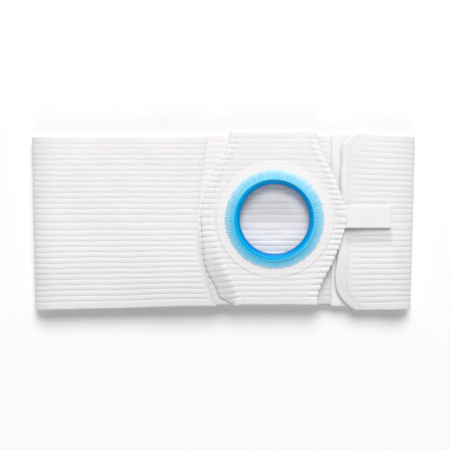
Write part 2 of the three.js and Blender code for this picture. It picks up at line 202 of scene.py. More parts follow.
# Cloths. Along and across are the pitches of their yarns, relief is the yarns' height, and through is the
# share of light that goes into the cloth.
CLOTHS = {
    "ribbed elastic": {
        "colour": "elastic", "roughness": 0.9, "through": 0.35,
        "along": 0.00078, "across": 0.0012, "fuzz": 0.35, "relief": 0.00006,
    },
    "smooth fabric": {
        "colour": "fabric", "roughness": 0.85, "through": 0,
        "along": 0.00062, "across": 0.00062, "fuzz": 0.7, "relief": 0.00004,
    },
    "loop fabric": {
        "colour": "fabric", "roughness": 0.95, "through": 0,
        "along": 0.0011, "across": 0.0011, "fuzz": 1, "relief": 0.00006,
    },
    "woven tape": {
        "colour": "tape", "roughness": 0.8, "through": 0.35,
        "along": 0.0005, "across": 0.00042, "fuzz": 0.25, "relief": 0.00004,
    },
}

# Studio lights: round soft lights that look at the origin. Place and size are in metres, power in watts.
LIGHTS = [
    {"name": "window_light", "place": (0.4, 4.6, 5.1), "size": 4.6, "power": 400},
    {"name": "fill_light", "place": (0.0, -4.4, 3.8), "size": 3.2, "power": 42},
]
SURROUND = 0.37
FLOOR_SIDE = 2.4
FLOOR_CLEARANCE = 0.0002

# The camera looks straight down. Focus is the height at which the picture has its stated width.
CAMERA = {"x": 0.00085, "y": -0.00387, "focus": 0.017, "picture_width": 0.396, "lens": 100, "sensor": 36}


def length(name, metres, description):
    """A length in metres that the sidebar shows."""
    return FloatProperty(name=name, description=description, default=metres, unit="LENGTH", precision=5)


def factor(name, value, description):
    """A plain factor."""
    return FloatProperty(name=name, description=description, default=value, precision=3)


def colour(name, value, description):
    """A colour in linear red, green and blue."""
    return FloatVectorProperty(
        name=name, description=description, default=value, size=3, subtype="COLOR", min=0, max=1
    )


class BandSizes(bpy.types.PropertyGroup):
    """Sizes of the long ribbed elastic."""

    laid_length: length("Laid length", 0.3363, "From fold to fold, as the closed belt lies")
    width: length("Width", 0.152, "Width of the elastic")
    rib_pitch: length("Rib pitch", 0.0048, "From rib to rib")
    centre_rib: length("Centre rib", 0.007, "Width of each of the two ribs at the middle")
    selvedge: length("Selvedge", 0.0066, "Width of the flat margin at each side")
    thickness: length("Thickness", 0.0022, "Thickness at the crest of a rib")
    groove: length("Groove", 0.0012, "Thickness in a groove")
    left_fold_height: length("Left fold height", 0.0155, "Height of the belt at its left fold")
    right_fold_height: length("Right fold height", 0.016, "Height of the belt at its right fold")
    fold_reach: length("Fold reach", 0.013, "How far a fold's round stretch reaches inwards")
    left_slant: length("Left fold slant", 0.0032, "How much further out the left fold's top lies")
    right_slant: length("Right fold slant", 0.0042, "How much further out the right fold's top lies")
    sag: length("Front sag", 0.0014, "Sag of the front layer between the left fold and the panel")
    lap_gap: length("Lap gap", 0.0032, "From the band's left end to the panel")
    lap_length: length("Lap length", 0.020, "How far the band's left end lies on the carrier")
    lap_rise_top: length("Lap rise at the top", 0.009, "How far the left end follows the panel at the top")
    lap_rise_bottom: length("Lap rise at the bottom", 0.0165, "The same at the bottom")
    lap_curve: factor("Lap curve", 1.7, "Power of the left end's curve")
    right_piece: length("Right piece", 0.0658, "From the free end to the right fold")
    end_shape: length("End shape", 0.015, "Length of the free end's shaped stretch")


class PanelSizes(bpy.types.PropertyGroup):
    """Sizes of the panel and of the carrier under it."""

    front_height: length("Front height", 0.0182, "Height of the panel's middle over the floor")
    edge_droop: length("Edge droop", 0.0016, "How far the panel's top and bottom edges droop")
    width: length("Panel width", 0.1268, "From tip to tip")
    height: length("Panel height", 0.153, "From its lower to its upper edge")
    thickness: length("Panel thickness", 0.002, "Thickness at the crest of a rib")
    groove: length("Panel groove", 0.0012, "Thickness in a groove")
    raised: length("Panel raise", 0.0044, "How far the panel's middle lies above the band's")
    tip_lift: length("Tip lift", 0.0025, "How far the right tip lifts off the free end")
    pucker_width: length("Pucker width", 0.010, "Width of the puckered border")
    pucker_reach: length("Pucker reach", 0.0009, "How far a pucker stands out of the edge")
    skirt: length("Skirt", 0.0085, "How far the lower left edge spreads over the band")
    skirt_fall: length("Skirt fall", 0.0007, "How far that edge falls")
    slant: length("Slant", 0.0026, "How far the puckers of that edge lean down")
    gather: length("Gather", 0.0024, "How far the ribs draw together towards the right tip")
    carrier_width: length("Carrier width", 0.1465, "Width of the carrier")
    carrier_thickness: length("Carrier thickness", 0.002, "Thickness of the carrier at a crest")
    carrier_groove: length("Carrier groove", 0.0012, "Thickness of the carrier in a groove")
    dip_length: length("Dip length", 0.028, "Length of the carrier's dip towards the fastening")


class OpeningSizes(bpy.types.PropertyGroup):
    """Sizes of the opening, its ring, patch and stitches."""

    diameter: length("Opening diameter", 0.061, "Inside diameter of the ring")
    sleeve_wall: length("Sleeve wall", 0.0016, "Wall of the ring's sleeve")
    ring_width: length("Ring width", 0.0065, "Width of the ring's visible face")
    ring_height: length("Ring height", 0.0034, "Height of the ring over its seat")
    patch_diameter: length("Patch diameter", 0.103, "Outside diameter of the smooth patch")
    patch_thickness: length("Patch thickness", 0.001, "Thickness of the patch")
    padding: length("Padding", 0.0013, "How far the patch is drawn up under the stitches")
    rim: length("Rim", 0.003, "Width of the patch's raised rim")
    bead: factor("Bead", 0.66, "Where the ring's bead is highest, as a share of its width")
    stitch_reach: length("Stitch reach", 0.0434, "From the opening's middle to the stitches' outer ends")
    overlap: length("Stitch overlap", 0.0024, "How far the stitches lie on the ring at its upper right")
    turn: factor("Turn", 0.27, "Share of a stitch that runs along the ring at each of its ends")
    thread: length("Thread", 0.0011, "Thickness of the blue thread at its outer ends")
    thread_inside: length("Thread inside", 0.0013, "Thickness of the blue thread where its stitches crowd")
    zigzags: IntProperty(name="Zigzags", description="Number of zigzags round the opening", default=106)


class FasteningSizes(bpy.types.PropertyGroup):
    """Sizes of the fastening, the tab and the white seams."""

    tip_lap: length("Tip lap", 0.0055, "How far the panel's tip covers the free end")
    loop_width: length("Loop width", 0.152, "Width of the loop patch")
    loop_thickness: length("Loop thickness", 0.0009, "Thickness of the loop patch")
    hook_inset: length("Hook inset", 0.003, "From the free end to the hook patch")
    hook_length: length("Hook length", 0.030, "Length of the hook patch along the belt")
    hook_width: length("Hook width", 0.122, "Width of the hook patch")
    hook_thickness: length("Hook thickness", 0.0009, "Thickness of the hook patch")
    tab_length: length("Tab length", 0.046, "Whole length of the tab")
    tab_under_tip: length("Tab under tip", 0.0064, "How much of the tab the panel's tip covers")
    tab_width: length("Tab width", 0.0198, "Width of the tab's tape")
    tab_thickness: length("Tab thickness", 0.0014, "Thickness of the doubled tape")
    tab_fall: length("Tab fall", 0.0016, "How far the tab's end falls")
    tab_lift: length("Tab lift", 0.0003, "How far the tab's lower edge stands off")
    tab_raise: length("Tab raise", 0.0008, "How far the tab's middle lies above the panel's")
    seam_thread: length("Seam thread", 0.00045, "Thickness of the white thread")
    seam_stitch: length("Seam stitch", 0.0024, "Length of a white stitch")
    gap: length("Gap", 0.0003, "Clearance between layers")


class Finishes(bpy.types.PropertyGroup):
    """Colours of the belt."""

    # The colours between yarns are partly painted shade in the hollows of each weave, mixed with random
    # patches of tone.
    elastic: colour("Elastic", (0.9, 0.876, 0.888), "Ribbed elastic")
    elastic_shade: colour("Elastic between yarns", (0.82, 0.796, 0.811), "Elastic between its yarns")
    fabric: colour("Fabric", (0.885, 0.866, 0.876), "Smooth patch and fastening fabric")
    fabric_shade: colour("Fabric between yarns", (0.834, 0.817, 0.827), "Smooth fabric between its yarns")
    tape: colour("Tape", (0.9, 0.883, 0.9), "Tab and binding tape")
    tape_shade: colour("Tape between yarns", (0.835, 0.818, 0.835), "Tape between its yarns")
    ring: colour("Ring", (0.0, 0.43, 0.82), "Round face of the ring")
    # The lip colour is painted shade: a darker copy of the ring's blue for the inner lip, which the light
    # hardly reaches.
    ring_lip_shade: colour("Ring lip", (0.0, 0.255, 0.64), "Inner lip of the ring")
    thread: colour("Blue thread", (0.01, 0.66, 0.98), "Zigzag thread")
    # The twist colour is painted shade between the thread's strands.
    thread_dark: colour("Blue thread twist", (0.0, 0.57, 0.93), "Between the zigzag thread's strands")
    # The pale blue is a painted highlight on the zigzag's shining ends, where the light catches them. The
    # thread is not worn there.
    thread_highlight: colour("Blue thread in light", (0.62, 0.88, 0.97), "Worn, shining ends of the zigzag")
    white_thread: colour("White thread", (0.84, 0.84, 0.84), "Seam thread")
    floor: colour("Floor", (0.97, 0.97, 0.97), "Surface that the belt lies on")


class BeltSizes(bpy.types.PropertyGroup):
    """Everything about the belt that can be set."""

    band: PointerProperty(type=BandSizes, name="Band", description="The long ribbed elastic")
    panel: PointerProperty(type=PanelSizes, name="Panel", description="Panel and carrier")
    opening: PointerProperty(type=OpeningSizes, name="Opening", description="Ring, patch and stitches")
    fastening: PointerProperty(type=FasteningSizes, name="Fastening", description="Fastening and tab")
    finish: PointerProperty(type=Finishes, name="Finish", description="Colours")


# Helpers for curves and unevenness

def smoothstep(x, low, high):
    """0 before low, 1 after high, and a smooth rise between."""
    share = np.clip((x - low) / (high - low), 0, 1)
    return share * share * (3 - 2 * share)


def lerp(low, high, share):
    """The value at a share of the way from low to high."""
    return low + (high - low) * share


def from_table(table, key, column, place, level_start=False):
    """A smooth curve through one column of a table, held level beyond its first and last rows."""
    at = np.array([row[key] for row in table], float)
    value = np.array([row[column] for row in table], float)
    slope = np.gradient(value, at)
    if level_start:
        slope[0] = 0
    place = np.clip(place, at[0], at[-1])
    k = np.clip(np.searchsorted(at, place, side="right") - 1, 0, len(at) - 2)
    step = at[k + 1] - at[k]
    t = (place - at[k]) / step
    values = value[k] * (1 + 2 * t) * (1 - t) ** 2 + value[k + 1] * t * t * (3 - 2 * t)
    slopes = slope[k] * t * (1 - t) ** 2 - slope[k + 1] * t * t * (1 - t)
    return values + step * slopes


def fade(name, place):
    """0 before the start of a named fade, 1 after its end, and a smooth rise between."""
    return smoothstep(place, FADES[name]["start"], FADES[name]["end"])


def uneven(name, x, y):
    """Smooth seeded noise of one of the named waves, between about minus and plus its size."""
    wave = WAVES[name]
    draw = random.Random(wave["seed"])
    total = np.zeros(np.broadcast(x, y).shape)
    for _ in range(WAVE_COUNT):
        turn_x = draw.choice((-1, 1)) * draw.uniform(0.6, 1.6) * 2 * math.pi / wave["along"]
        turn_y = draw.uniform(0.5, 1.5) * 2 * math.pi / wave["across"]
        total += np.sin(turn_x * x + turn_y * y + draw.uniform(0, 2 * math.pi))
    return wave["size"] * (total / math.sqrt(2 * WAVE_COUNT))


# Where the layers lie

GATHER_INSET = 0.012


class Layers:
    """Places and heights of the belt's layers. x is the frame's, and y counts from the band's middle line."""

    def __init__(self, sizes):
        band, panel, fastening = sizes.band, sizes.panel, sizes.fastening
        self.band, self.panel, self.opening, self.fastening = band, panel, sizes.opening, fastening
        panel_low, panel_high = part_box("support_panel")
        ring_low, ring_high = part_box("opening_ring")
        loop_low, loop_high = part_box("loop_patch")
        self.panel_x = (panel_low.x + panel_high.x) / 2
        self.belt_y = (panel_low.y + panel_high.y) / 2 - panel.raised
        self.ring_x = (ring_low.x + ring_high.x) / 2
        self.ring_y = (ring_low.y + ring_high.y) / 2 - self.belt_y
        self.panel_tip = self.panel_x + panel.width / 2
        self.free_end = self.panel_tip - fastening.tip_lap
        self.right_fold = self.free_end + band.right_piece
        self.left_fold = self.right_fold - band.laid_length
        self.lap_edge = self.panel_x - panel.width / 2 - band.lap_gap
        self.carrier_left = self.lap_edge - band.lap_length
        self.loop_left = loop_low.x
        self.loop_right = loop_high.x
        self.carrier_right = self.loop_right + fastening.gap
        self.open_radius = self.opening.diameter / 2
        self.hole_radius = self.open_radius + self.opening.sleeve_wall + fastening.gap
        self.patch_radius = self.opening.patch_diameter / 2
        self.back_mid = band.thickness / 2
        self.left_top = band.left_fold_height - band.thickness / 2
        self.right_top = band.right_fold_height - band.thickness / 2
        self.stack = (
            fastening.loop_thickness
            + fastening.hook_thickness
            + band.thickness
            + fastening.tab_thickness
            + 4 * fastening.gap
        )

    def panel_mid(self, y):
        beyond = np.maximum(0, np.abs(y - self.ring_y) - self.patch_radius)
        room = self.panel.height / 2 - self.patch_radius
        return self.panel.front_height - self.panel.edge_droop * (beyond / room) ** 2

    def carrier_mid(self, x, y):
        dip = self.stack * smoothstep(x, self.loop_left - self.panel.dip_length, self.loop_left)
        under = (self.panel.thickness + self.panel.carrier_thickness) / 2 + self.fastening.gap
        return self.panel_mid(y) - under - dip

    def lap_mid(self, x, y):
        over = (self.panel.carrier_thickness + self.band.thickness) / 2 + self.fastening.gap
        return self.carrier_mid(x, y) + over

    def loop_mid(self, x, y):
        over = (self.panel.carrier_thickness + self.fastening.loop_thickness) / 2 + self.fastening.gap
        return self.carrier_mid(x, y) + over

    def hook_mid(self, x, y):
        over = (self.fastening.loop_thickness + self.fastening.hook_thickness) / 2 + self.fastening.gap
        return self.loop_mid(x, y) + over

    def free_end_mid(self, x, y):
        over = (self.fastening.hook_thickness + self.band.thickness) / 2 + self.fastening.gap
        return self.hook_mid(x, y) + over

    def tip_lift(self, x):
        return self.panel.tip_lift * smoothstep(x, self.ring_x + self.patch_radius, self.panel_tip)

    def tab_mid(self, x, y):
        fall = self.fastening.tab_fall * fade("tab falls past tip", x - self.panel_tip)
        under = (self.panel.thickness + self.fastening.tab_thickness) / 2 + self.fastening.gap
        return self.panel_mid(y) + self.tip_lift(x) - under - fall

    def left_fold_at(self, y):
        return self.left_fold - self.band.left_slant * y / self.band.width + self.band.thickness / 2

    def right_fold_at(self, y):
        return self.right_fold + self.band.right_slant * y / self.band.width - self.band.thickness / 2

    def lap_edge_at(self, y):
        rise = np.where(y > 0, self.band.lap_rise_top, self.band.lap_rise_bottom)
        return self.lap_edge + rise * np.abs(2 * y / self.band.width) ** self.band.lap_curve

    def gathered(self, x, y):
        """How far the panel's ribs draw towards the middle line as they near the right tip."""
        away = (y - self.panel.raised) / (self.panel.height / 2)
        share = np.sin(math.pi * np.clip(np.abs(away), 0, 1)) * np.sign(away)
        towards = smoothstep(x, self.ring_x + GATHER_INSET, self.panel_tip - GATHER_INSET)
        return -self.panel.gather * share * towards

    def panel_half_width(self, row):
        """Half the panel's width at a row across it."""
        height = np.abs(2 * row / self.panel.height)
        return self.panel.width / 2 * from_table(PANEL_OUTLINE, "height", "width", height, level_start=True)

    def front_painted_shade(self, x, y):
        """Painted shade on the band's front: 1, or less beside the folds and along the lower edge, and a
        painted shadow below the tab.
        """
        from_fold = np.minimum(x - self.left_fold_at(y), self.right_fold_at(y) - x)
        past_tip = x - self.panel_tip
        before_end = self.fastening.tab_length - self.fastening.tab_under_tip - past_tip
        under = self.panel.raised + self.fastening.tab_raise - self.fastening.tab_width / 2 - y
        # The painted shadow of the tab on the cloth below it.
        tab_shadow_mask = fade("tab shade past tip", past_tip) * fade("tab shade before end", before_end)
        tab_shadow_mask = tab_shadow_mask * fade("tab shade reach", under) * fade("tab shade edge", under)
        tone = 1 - PAINTED_SHADE["beside fold"] * fade("beside fold", from_fold)
        tone = tone - PAINTED_SHADE["belt lower edge"] * fade("belt lower edge", -y)
        return tone - PAINTED_SHADE["below tab"] * tab_shadow_mask

    def opening_painted_shade(self, x, y):
        """Painted shade on the back layer's inner face: less than 1 where it shows through the upper part of
        the opening.
        """
        right, up = x - self.ring_x, y - self.ring_y
        shade = fade("round opening", np.hypot(right, up) / self.patch_radius)
        shade = shade * fade("upper right of opening", 0.7 * (right + up))
        shade = shade * fade("upper half of opening", up) * fade("top of opening", up)
        return 1 - PAINTED_SHADE["behind opening"] * shade

    def cut_end_at(self, y):
        share = from_table(FREE_END, "across", "edge", 2 * y / self.band.width)
        return self.free_end + self.band.end_shape * share

    def rib_end_at(self, y):
        share = from_table(FREE_END, "across", "ribs", 2 * y / self.band.width)
        return self.free_end + self.band.end_shape * share

    def left_front_mid(self, x, y):
        share = smoothstep(x, self.left_fold_at(y) + self.band.fold_reach, self.carrier_left)
        level = lerp(self.left_top, self.lap_mid(self.carrier_left, y), share)
        return level - self.band.sag * 4 * share * (1 - share)

    def right_front_mid(self, x, y):
        start = self.carrier_right + self.fastening.gap
        share = smoothstep(x, start, self.right_fold_at(y) - self.band.fold_reach)
        return lerp(self.free_end_mid(self.loop_left, y), self.right_top, share)

    def spread(self, stretch, x, y):
        """The band's edges aren't quite parallel: y as it lies at x, in one of the band's stretches."""
        start, end, start_edges, end_edges = {
            "left front": (self.lap_edge, self.left_fold, "lap", "left_fold"),
            "back": (self.left_fold, self.right_fold, "left_fold", "right_fold"),
            "right front": (self.right_fold, self.free_end, "right_fold", "free_end"),
        }[stretch]
        share = (x - start) / (end - start)
        top = lerp(BAND_EDGES[start_edges]["top"], BAND_EDGES[end_edges]["top"], share)
        bottom = lerp(BAND_EDGES[start_edges]["bottom"], BAND_EDGES[end_edges]["bottom"], share)
        if stretch == "back":
            bottom = bottom - BACK_DRAWN_IN * 4 * share * (1 - share)
        return y * np.where(y > 0, top, bottom)


# Ribbed sheets

EDGE_ROUND = 0.0009
RIB_ROUNDNESS = 2.1
RIB_FULLNESS = 0.8
RIB_DEPTH = {"top": 0.56, "bottom": 1.3}
END_LEVEL = 0.72
END_ROWS = 0.0003
SELVEDGE_STEPS = (0.06, 0.14, 0.3, 0.55, 0.78)
EDGE_STEPS = (0.0, 0.45, 0.78, 0.95, 1.0)


def ribbed_rows(width, band, samples):
    """Rows across a ribbed elastic from edge to edge: their places, and their relief from 0 to 1."""
    room = width / 2 - band.centre_rib - band.selvedge
    count = round(room / band.rib_pitch)
    outer = band.centre_rib + room * np.arange(count + 1) / count
    grooves = np.concatenate([-outer[::-1], [0], outer])
    turn = np.sin(np.linspace(-0.5, 0.5, samples + 1)[:-1] * math.pi)
    middles, halves = (grooves[1:] + grooves[:-1]) / 2, np.diff(grooves) / 2
    ribs = (middles[:, None] + halves[:, None] * turn).ravel()
    arch = np.tile((1 - np.abs(turn) ** RIB_ROUNDNESS) ** RIB_FULLNESS, len(middles))
    flat = grooves[-1] + (band.selvedge - EDGE_ROUND) * np.array(SELVEDGE_STEPS)
    rim = width / 2 - EDGE_ROUND * (1 - np.array(EDGE_STEPS))
    margin = np.concatenate([flat, rim])
    rise = np.minimum(1, (margin - grooves[-1]) / EDGE_ROUND) ** 0.5
    place = np.concatenate([-margin[::-1], ribs, [grooves[-1]], margin])
    relief = np.concatenate([rise[::-1], arch, [0], rise])
    depth = lerp(RIB_DEPTH["bottom"], RIB_DEPTH["top"], place / width + 0.5)
    return place, 1 - depth * (1 - relief)


def plain_rows(width, count):
    """Rows across a smooth sheet, closer together at its rounded edges."""
    inner = np.linspace(-1, 1, count) * (width / 2 - EDGE_ROUND)
    rim = width / 2 - EDGE_ROUND * (1 - np.array(EDGE_STEPS[1:]))
    return np.concatenate([-rim[::-1], inner, rim])


def half_thickness(place, relief, width, crest, groove):
    """Half the sheet's thickness at each row, with its edges rounded off."""
    half = lerp(groove, crest, relief) / 2
    over = np.clip((np.abs(place) - (width / 2 - EDGE_ROUND)) / EDGE_ROUND, 0, 1)
    return half * np.sqrt(1 - 0.86 * over**2)


def sheet_faces(keep):
    """Faces of a closed sheet over the kept cells of a grid: upper, lower and walls round the edges."""
    rows, columns = keep.shape[0] + 1, keep.shape[1] + 1
    number = np.arange(rows * columns).reshape(rows, columns)
    under = rows * columns
    a, b = number[:-1, :-1][keep], number[:-1, 1:][keep]
    c, d = number[1:, 1:][keep], number[1:, :-1][keep]
    faces = [np.stack([a, b, c, d], 1), np.stack([a, d, c, b], 1) + under]
    ringed = np.pad(keep, 1)
    row_sides = (ringed[:-1, 1:-1], ringed[1:, 1:-1], number[:, 1:], number[:, :-1])
    column_sides = (ringed[1:-1, :-1], ringed[1:-1, 1:], number[:-1, :], number[1:, :])
    for before, after, start, end in (row_sides, column_sides):
        for edge, first, last in ((after & ~before, start, end), (before & ~after, end, start)):
            faces.append(np.stack([first[edge], last[edge], last[edge] + under, first[edge] + under], 1))
    return np.concatenate(faces)


def make_mesh(name, points, faces, material, cloth=None):
    """A smooth mesh object from arrays. cloth holds each point's place along and across its cloth, and its
    tone of painted shade or highlight.
    """
    used, faces = np.unique(faces, return_inverse=True)
    faces = faces.reshape(-1, 4)
    points = points[used]
    corners = points[faces]
    volume = np.einsum("ij,ij->", corners[:, 0], np.cross(corners[:, 1], corners[:, 2]))
    volume += np.einsum("ij,ij->", corners[:, 0], np.cross(corners[:, 2], corners[:, 3]))
    if volume < 0:
        faces = faces[:, ::-1]
    mesh = bpy.data.meshes.new(name)
    mesh.from_pydata(points.tolist(), [], faces.tolist())
    if cloth is not None:
        laid = mesh.attributes.new("cloth", "FLOAT_VECTOR", "POINT")
        laid.data.foreach_set("vector", cloth[used].astype(np.float32).ravel())
    mesh.shade_smooth()
    mesh.materials.append(material)
    piece = bpy.data.objects.new(name, mesh)
    bpy.context.scene.collection.objects.link(piece)
    return piece


def make_sheet(name, upper, lower, along, across, material, keep=None, tone=1.0, lower_tone=None):
    """A closed sheet from two grids of points, one for each face. Tone is below 1 where shade is painted on,
    and lower_tone is the painted shade of the lower face.
    """
    if keep is None:
        keep = np.ones((upper.shape[0] - 1, upper.shape[1] - 1), bool)
    tones = (tone, tone if lower_tone is None else lower_tone)
    cloth = [np.stack(np.broadcast_arrays(along, across, each), 2).reshape(-1, 3) for each in tones]
    cloth = np.concatenate(cloth)
    points = np.concatenate([upper.reshape(-1, 3), lower.reshape(-1, 3)])
    return make_mesh(name, points, sheet_faces(keep), material, cloth)


def laid_sheet(name, x, across, middle, half, row, material, keep=None, tone=1.0):
    """A sheet that lies flat, from its middle surface and half its thickness."""
    upper, lower = grid_points(x, across, middle + half), grid_points(x, across, middle - half)
    return make_sheet(name, upper, lower, x, row, material, keep, tone)


def cut_round(x, y, centre_x, centre_y, radius):
    """Grid places with a round hole, the nearest of them moved onto it, and the kept cells."""
    away_x, away_y = x - centre_x, y - centre_y
    inside = np.hypot(away_x, away_y) < radius
    cell = inside[:-1, :-1].astype(int) + inside[1:, :-1] + inside[:-1, 1:] + inside[1:, 1:]
    keep = cell < 2
    kept = np.zeros(x.shape, bool)
    lost = np.zeros(x.shape, bool)
    for rows in (slice(None, -1), slice(1, None)):
        for columns in (slice(None, -1), slice(1, None)):
            kept[rows, columns] |= keep
            lost[rows, columns] |= ~keep
    rim = kept & lost
    scale = np.where(rim, radius / np.maximum(np.hypot(away_x, away_y), 1e-9), 1)
    return centre_x + away_x * scale, centre_y + away_y * scale, keep


def grid_points(x, y, z):
    """Points of a grid in the frame."""
    return np.stack(np.broadcast_arrays(x, y, z), 2).astype(float)


# Threads

TUBE_SIDES = 6
TUBE_END = 0.35


def tube(paths, radius, closed=False, tone=1.0):
    """Tubes along many like paths, given as an array of path, point and coordinate: points and faces."""
    count, steps = paths.shape[:2]
    if closed:
        tangent = np.roll(paths, -1, 1) - np.roll(paths, 1, 1)
    else:
        tangent = np.gradient(paths, axis=1)
    tangent /= np.linalg.norm(tangent, axis=2, keepdims=True)
    side = np.cross(tangent, (0.0, 0.0, 1.0))
    side /= np.maximum(np.linalg.norm(side, axis=2, keepdims=True), 1e-9)
    up = np.cross(side, tangent)
    width = np.full(steps, radius)
    if not closed:
        width[[0, -1]] = radius * TUBE_END
    angle = 2 * math.pi * np.arange(TUBE_SIDES) / TUBE_SIDES
    ring = np.cos(angle)[:, None] * side[:, :, None, :] + np.sin(angle)[:, None] * up[:, :, None, :]
    points = paths[:, :, None, :] + width[:, None, None] * ring
    number = np.arange(count * steps * TUBE_SIDES).reshape(count, steps, TUBE_SIDES)
    following = np.roll(number, -1, 1) if closed else number[:, 1:]
    here = number if closed else number[:, :-1]
    quads = np.stack([here, np.roll(here, -1, 2), np.roll(following, -1, 2), following], 3).reshape(-1, 4)
    if not closed:
        first, last = number[:, 0], number[:, -1]
        ends = [first[:, [3, 2, 1, 0]], first[:, [5, 4, 3, 0]], last[:, [0, 1, 2, 3]], last[:, [0, 3, 4, 5]]]
        quads = np.concatenate([quads, *ends])
    run = np.cumsum(np.linalg.norm(np.diff(paths, axis=1, prepend=paths[:, :1]), axis=2), 1)
    cloth = np.stack(np.broadcast_arrays(run[:, :, None], angle, np.reshape(tone, (1, -1, 1))), 3)
    return points.reshape(-1, 3), quads, cloth.reshape(-1, 3)


# Materials

def grain_group(name, inputs):
    """A shader node group that reads a cloth's own places and gives a height, a shade and a tone; the tone
    carries painted shade or a painted highlight.

    Gives the group, its input and output nodes and the split places.
    """
    group = bpy.data.node_groups.new(name, "ShaderNodeTree")
    group.interface.new_socket("Cloth", in_out="INPUT", socket_type="NodeSocketVector")
    for label, value in inputs.items():
        group.interface.new_socket(label, in_out="INPUT", socket_type="NodeSocketFloat").default_value = value
    for label in ("Height", "Shade", "Tone"):
        group.interface.new_socket(label, in_out="OUTPUT", socket_type="NodeSocketFloat")
    into, out = group.nodes.new("NodeGroupInput"), group.nodes.new("NodeGroupOutput")
    split = group.nodes.new("ShaderNodeSeparateXYZ")
    group.links.new(into.outputs["Cloth"], split.inputs[0])
    group.links.new(split.outputs["Z"], out.inputs["Tone"])
    return group, into, out, split


def math_node(tree, operation, *values):
    """A Math node whose inputs are numbers or other nodes' sockets. Gives its output socket."""
    node = tree.nodes.new("ShaderNodeMath")
    node.operation = operation
    for socket, value in zip(node.inputs, values):
        if isinstance(value, bpy.types.NodeSocket):
            tree.links.new(value, socket)
        else:
            socket.default_value = value
    return node.outputs[0]


def noise_node(tree, vector, scale, detail=2.0):
    """A noise of the given scale per metre. Gives its value socket."""
    node = tree.nodes.new("ShaderNodeTexNoise")
    node.inputs["Scale"].default_value = scale
    node.inputs["Detail"].default_value = detail
    tree.links.new(vector, node.inputs["Vector"])
    return node.outputs["Fac"]


def wave_of(tree, place, pitch):
    """A wave from 0 to 1 that repeats with the pitch."""
    turns = math_node(tree, "DIVIDE", place, pitch)
    sine = math_node(tree, "SINE", math_node(tree, "MULTIPLY", turns, 2 * math.pi))
    return math_node(tree, "MULTIPLY_ADD", sine, 0.5, 0.5)


def cloth_grain_group():
    """Yarns that cross, with fuzz and slow unevenness. Height is the relief, shade the colour's place:
    painted shade in the hollows between the yarns, with random patches.
    """
    name = "Cloth grain"
    if name in bpy.data.node_groups:
        return bpy.data.node_groups[name]
    group, into, out, split = grain_group(name, {"Along Pitch": 0.0007, "Across Pitch": 0.0009, "Fuzz": 0.3})
    along = wave_of(group, split.outputs["X"], into.outputs["Along Pitch"])
    across = wave_of(group, split.outputs["Y"], into.outputs["Across Pitch"])
    yarns = math_node(group, "MULTIPLY_ADD", across, 0.45, math_node(group, "MULTIPLY", along, 0.55))
    fuzz = noise_node(group, into.outputs["Cloth"], 2600, 3)
    fuzzy = math_node(group, "MULTIPLY", fuzz, into.outputs["Fuzz"])
    height = math_node(group, "ADD", yarns, fuzzy)
    patches = noise_node(group, into.outputs["Cloth"], 45, 2)
    cloud = math_node(group, "MULTIPLY_ADD", patches, 0.7, -0.1)
    shade = math_node(group, "MULTIPLY_ADD", height, 0.45, cloud)
    group.links.new(height, out.inputs["Height"])
    shade = math_node(group, "MINIMUM", math_node(group, "MAXIMUM", shade, 0), 1)
    group.links.new(shade, out.inputs["Shade"])
    return group


def thread_twist_group():
    """Strands that wind round a thread. Height is the relief, shade the colour's place: painted shade between
    the strands.
    """
    name = "Thread twist"
    if name in bpy.data.node_groups:
        return bpy.data.node_groups[name]
    group, into, out, split = grain_group(name, {"Pitch": 0.0006})
    turns = math_node(group, "MULTIPLY", split.outputs["Y"], 1 / math.pi)
    wound = math_node(group, "DIVIDE", split.outputs["X"], into.outputs["Pitch"])
    phase = math_node(group, "MULTIPLY", math_node(group, "ADD", wound, turns), 2 * math.pi)
    strand = math_node(group, "MULTIPLY_ADD", math_node(group, "SINE", phase), 0.5, 0.5)
    group.links.new(strand, out.inputs["Height"])
    group.links.new(math_node(group, "POWER", strand, 0.6), out.inputs["Shade"])
    return group


def new_material(name, roughness, **constants):
    """A material with its shader's plain values set. Constants are named as its sockets, with underscores."""
    material = bpy.data.materials.new(name)
    material.use_nodes = True
    shader = material.node_tree.nodes["Principled BSDF"]
    shader.inputs["Roughness"].default_value = roughness
    for label, value in constants.items():
        shader.inputs[label.replace("_", " ")].default_value = value
    shader.inputs["Subsurface Radius"].default_value = (1, 0.95, 0.95)
    return material, material.node_tree, shader


def mixed(tree, share, low, high):
    """A colour from low to high as share goes from 0 to 1. Both are colours or other nodes' sockets."""
    mix = tree.nodes.new("ShaderNodeMix")
    mix.data_type = "RGBA"
    for label, value in (("A", low), ("B", high)):
        if isinstance(value, bpy.types.NodeSocket):
            tree.links.new(value, mix.inputs[label])
        else:
            mix.inputs[label].default_value = (*value, 1)
    tree.links.new(share, mix.inputs["Factor"])
    return mix.outputs["Result"]


def two_colours(tree, shader, share, low, high, tone=None, toned=(0, 0, 0)):
    """Base colour from low to high with the share, and towards the toned colour as tone leaves 1: painted
    shade when that colour is black, a painted highlight when it is pale.
    """
    base = mixed(tree, share, low, high)
    if tone is not None:
        base = mixed(tree, tone, toned, base)
    tree.links.new(base, shader.inputs["Base Color"])


def relief(tree, shader, height, distance, strength=1.0):
    """Fine relief of a surface, of about the given height in metres."""
    bump = tree.nodes.new("ShaderNodeBump")
    bump.inputs["Distance"].default_value = distance
    bump.inputs["Strength"].default_value = strength
    tree.links.new(height, bump.inputs["Height"])
    tree.links.new(bump.outputs["Normal"], shader.inputs["Normal"])


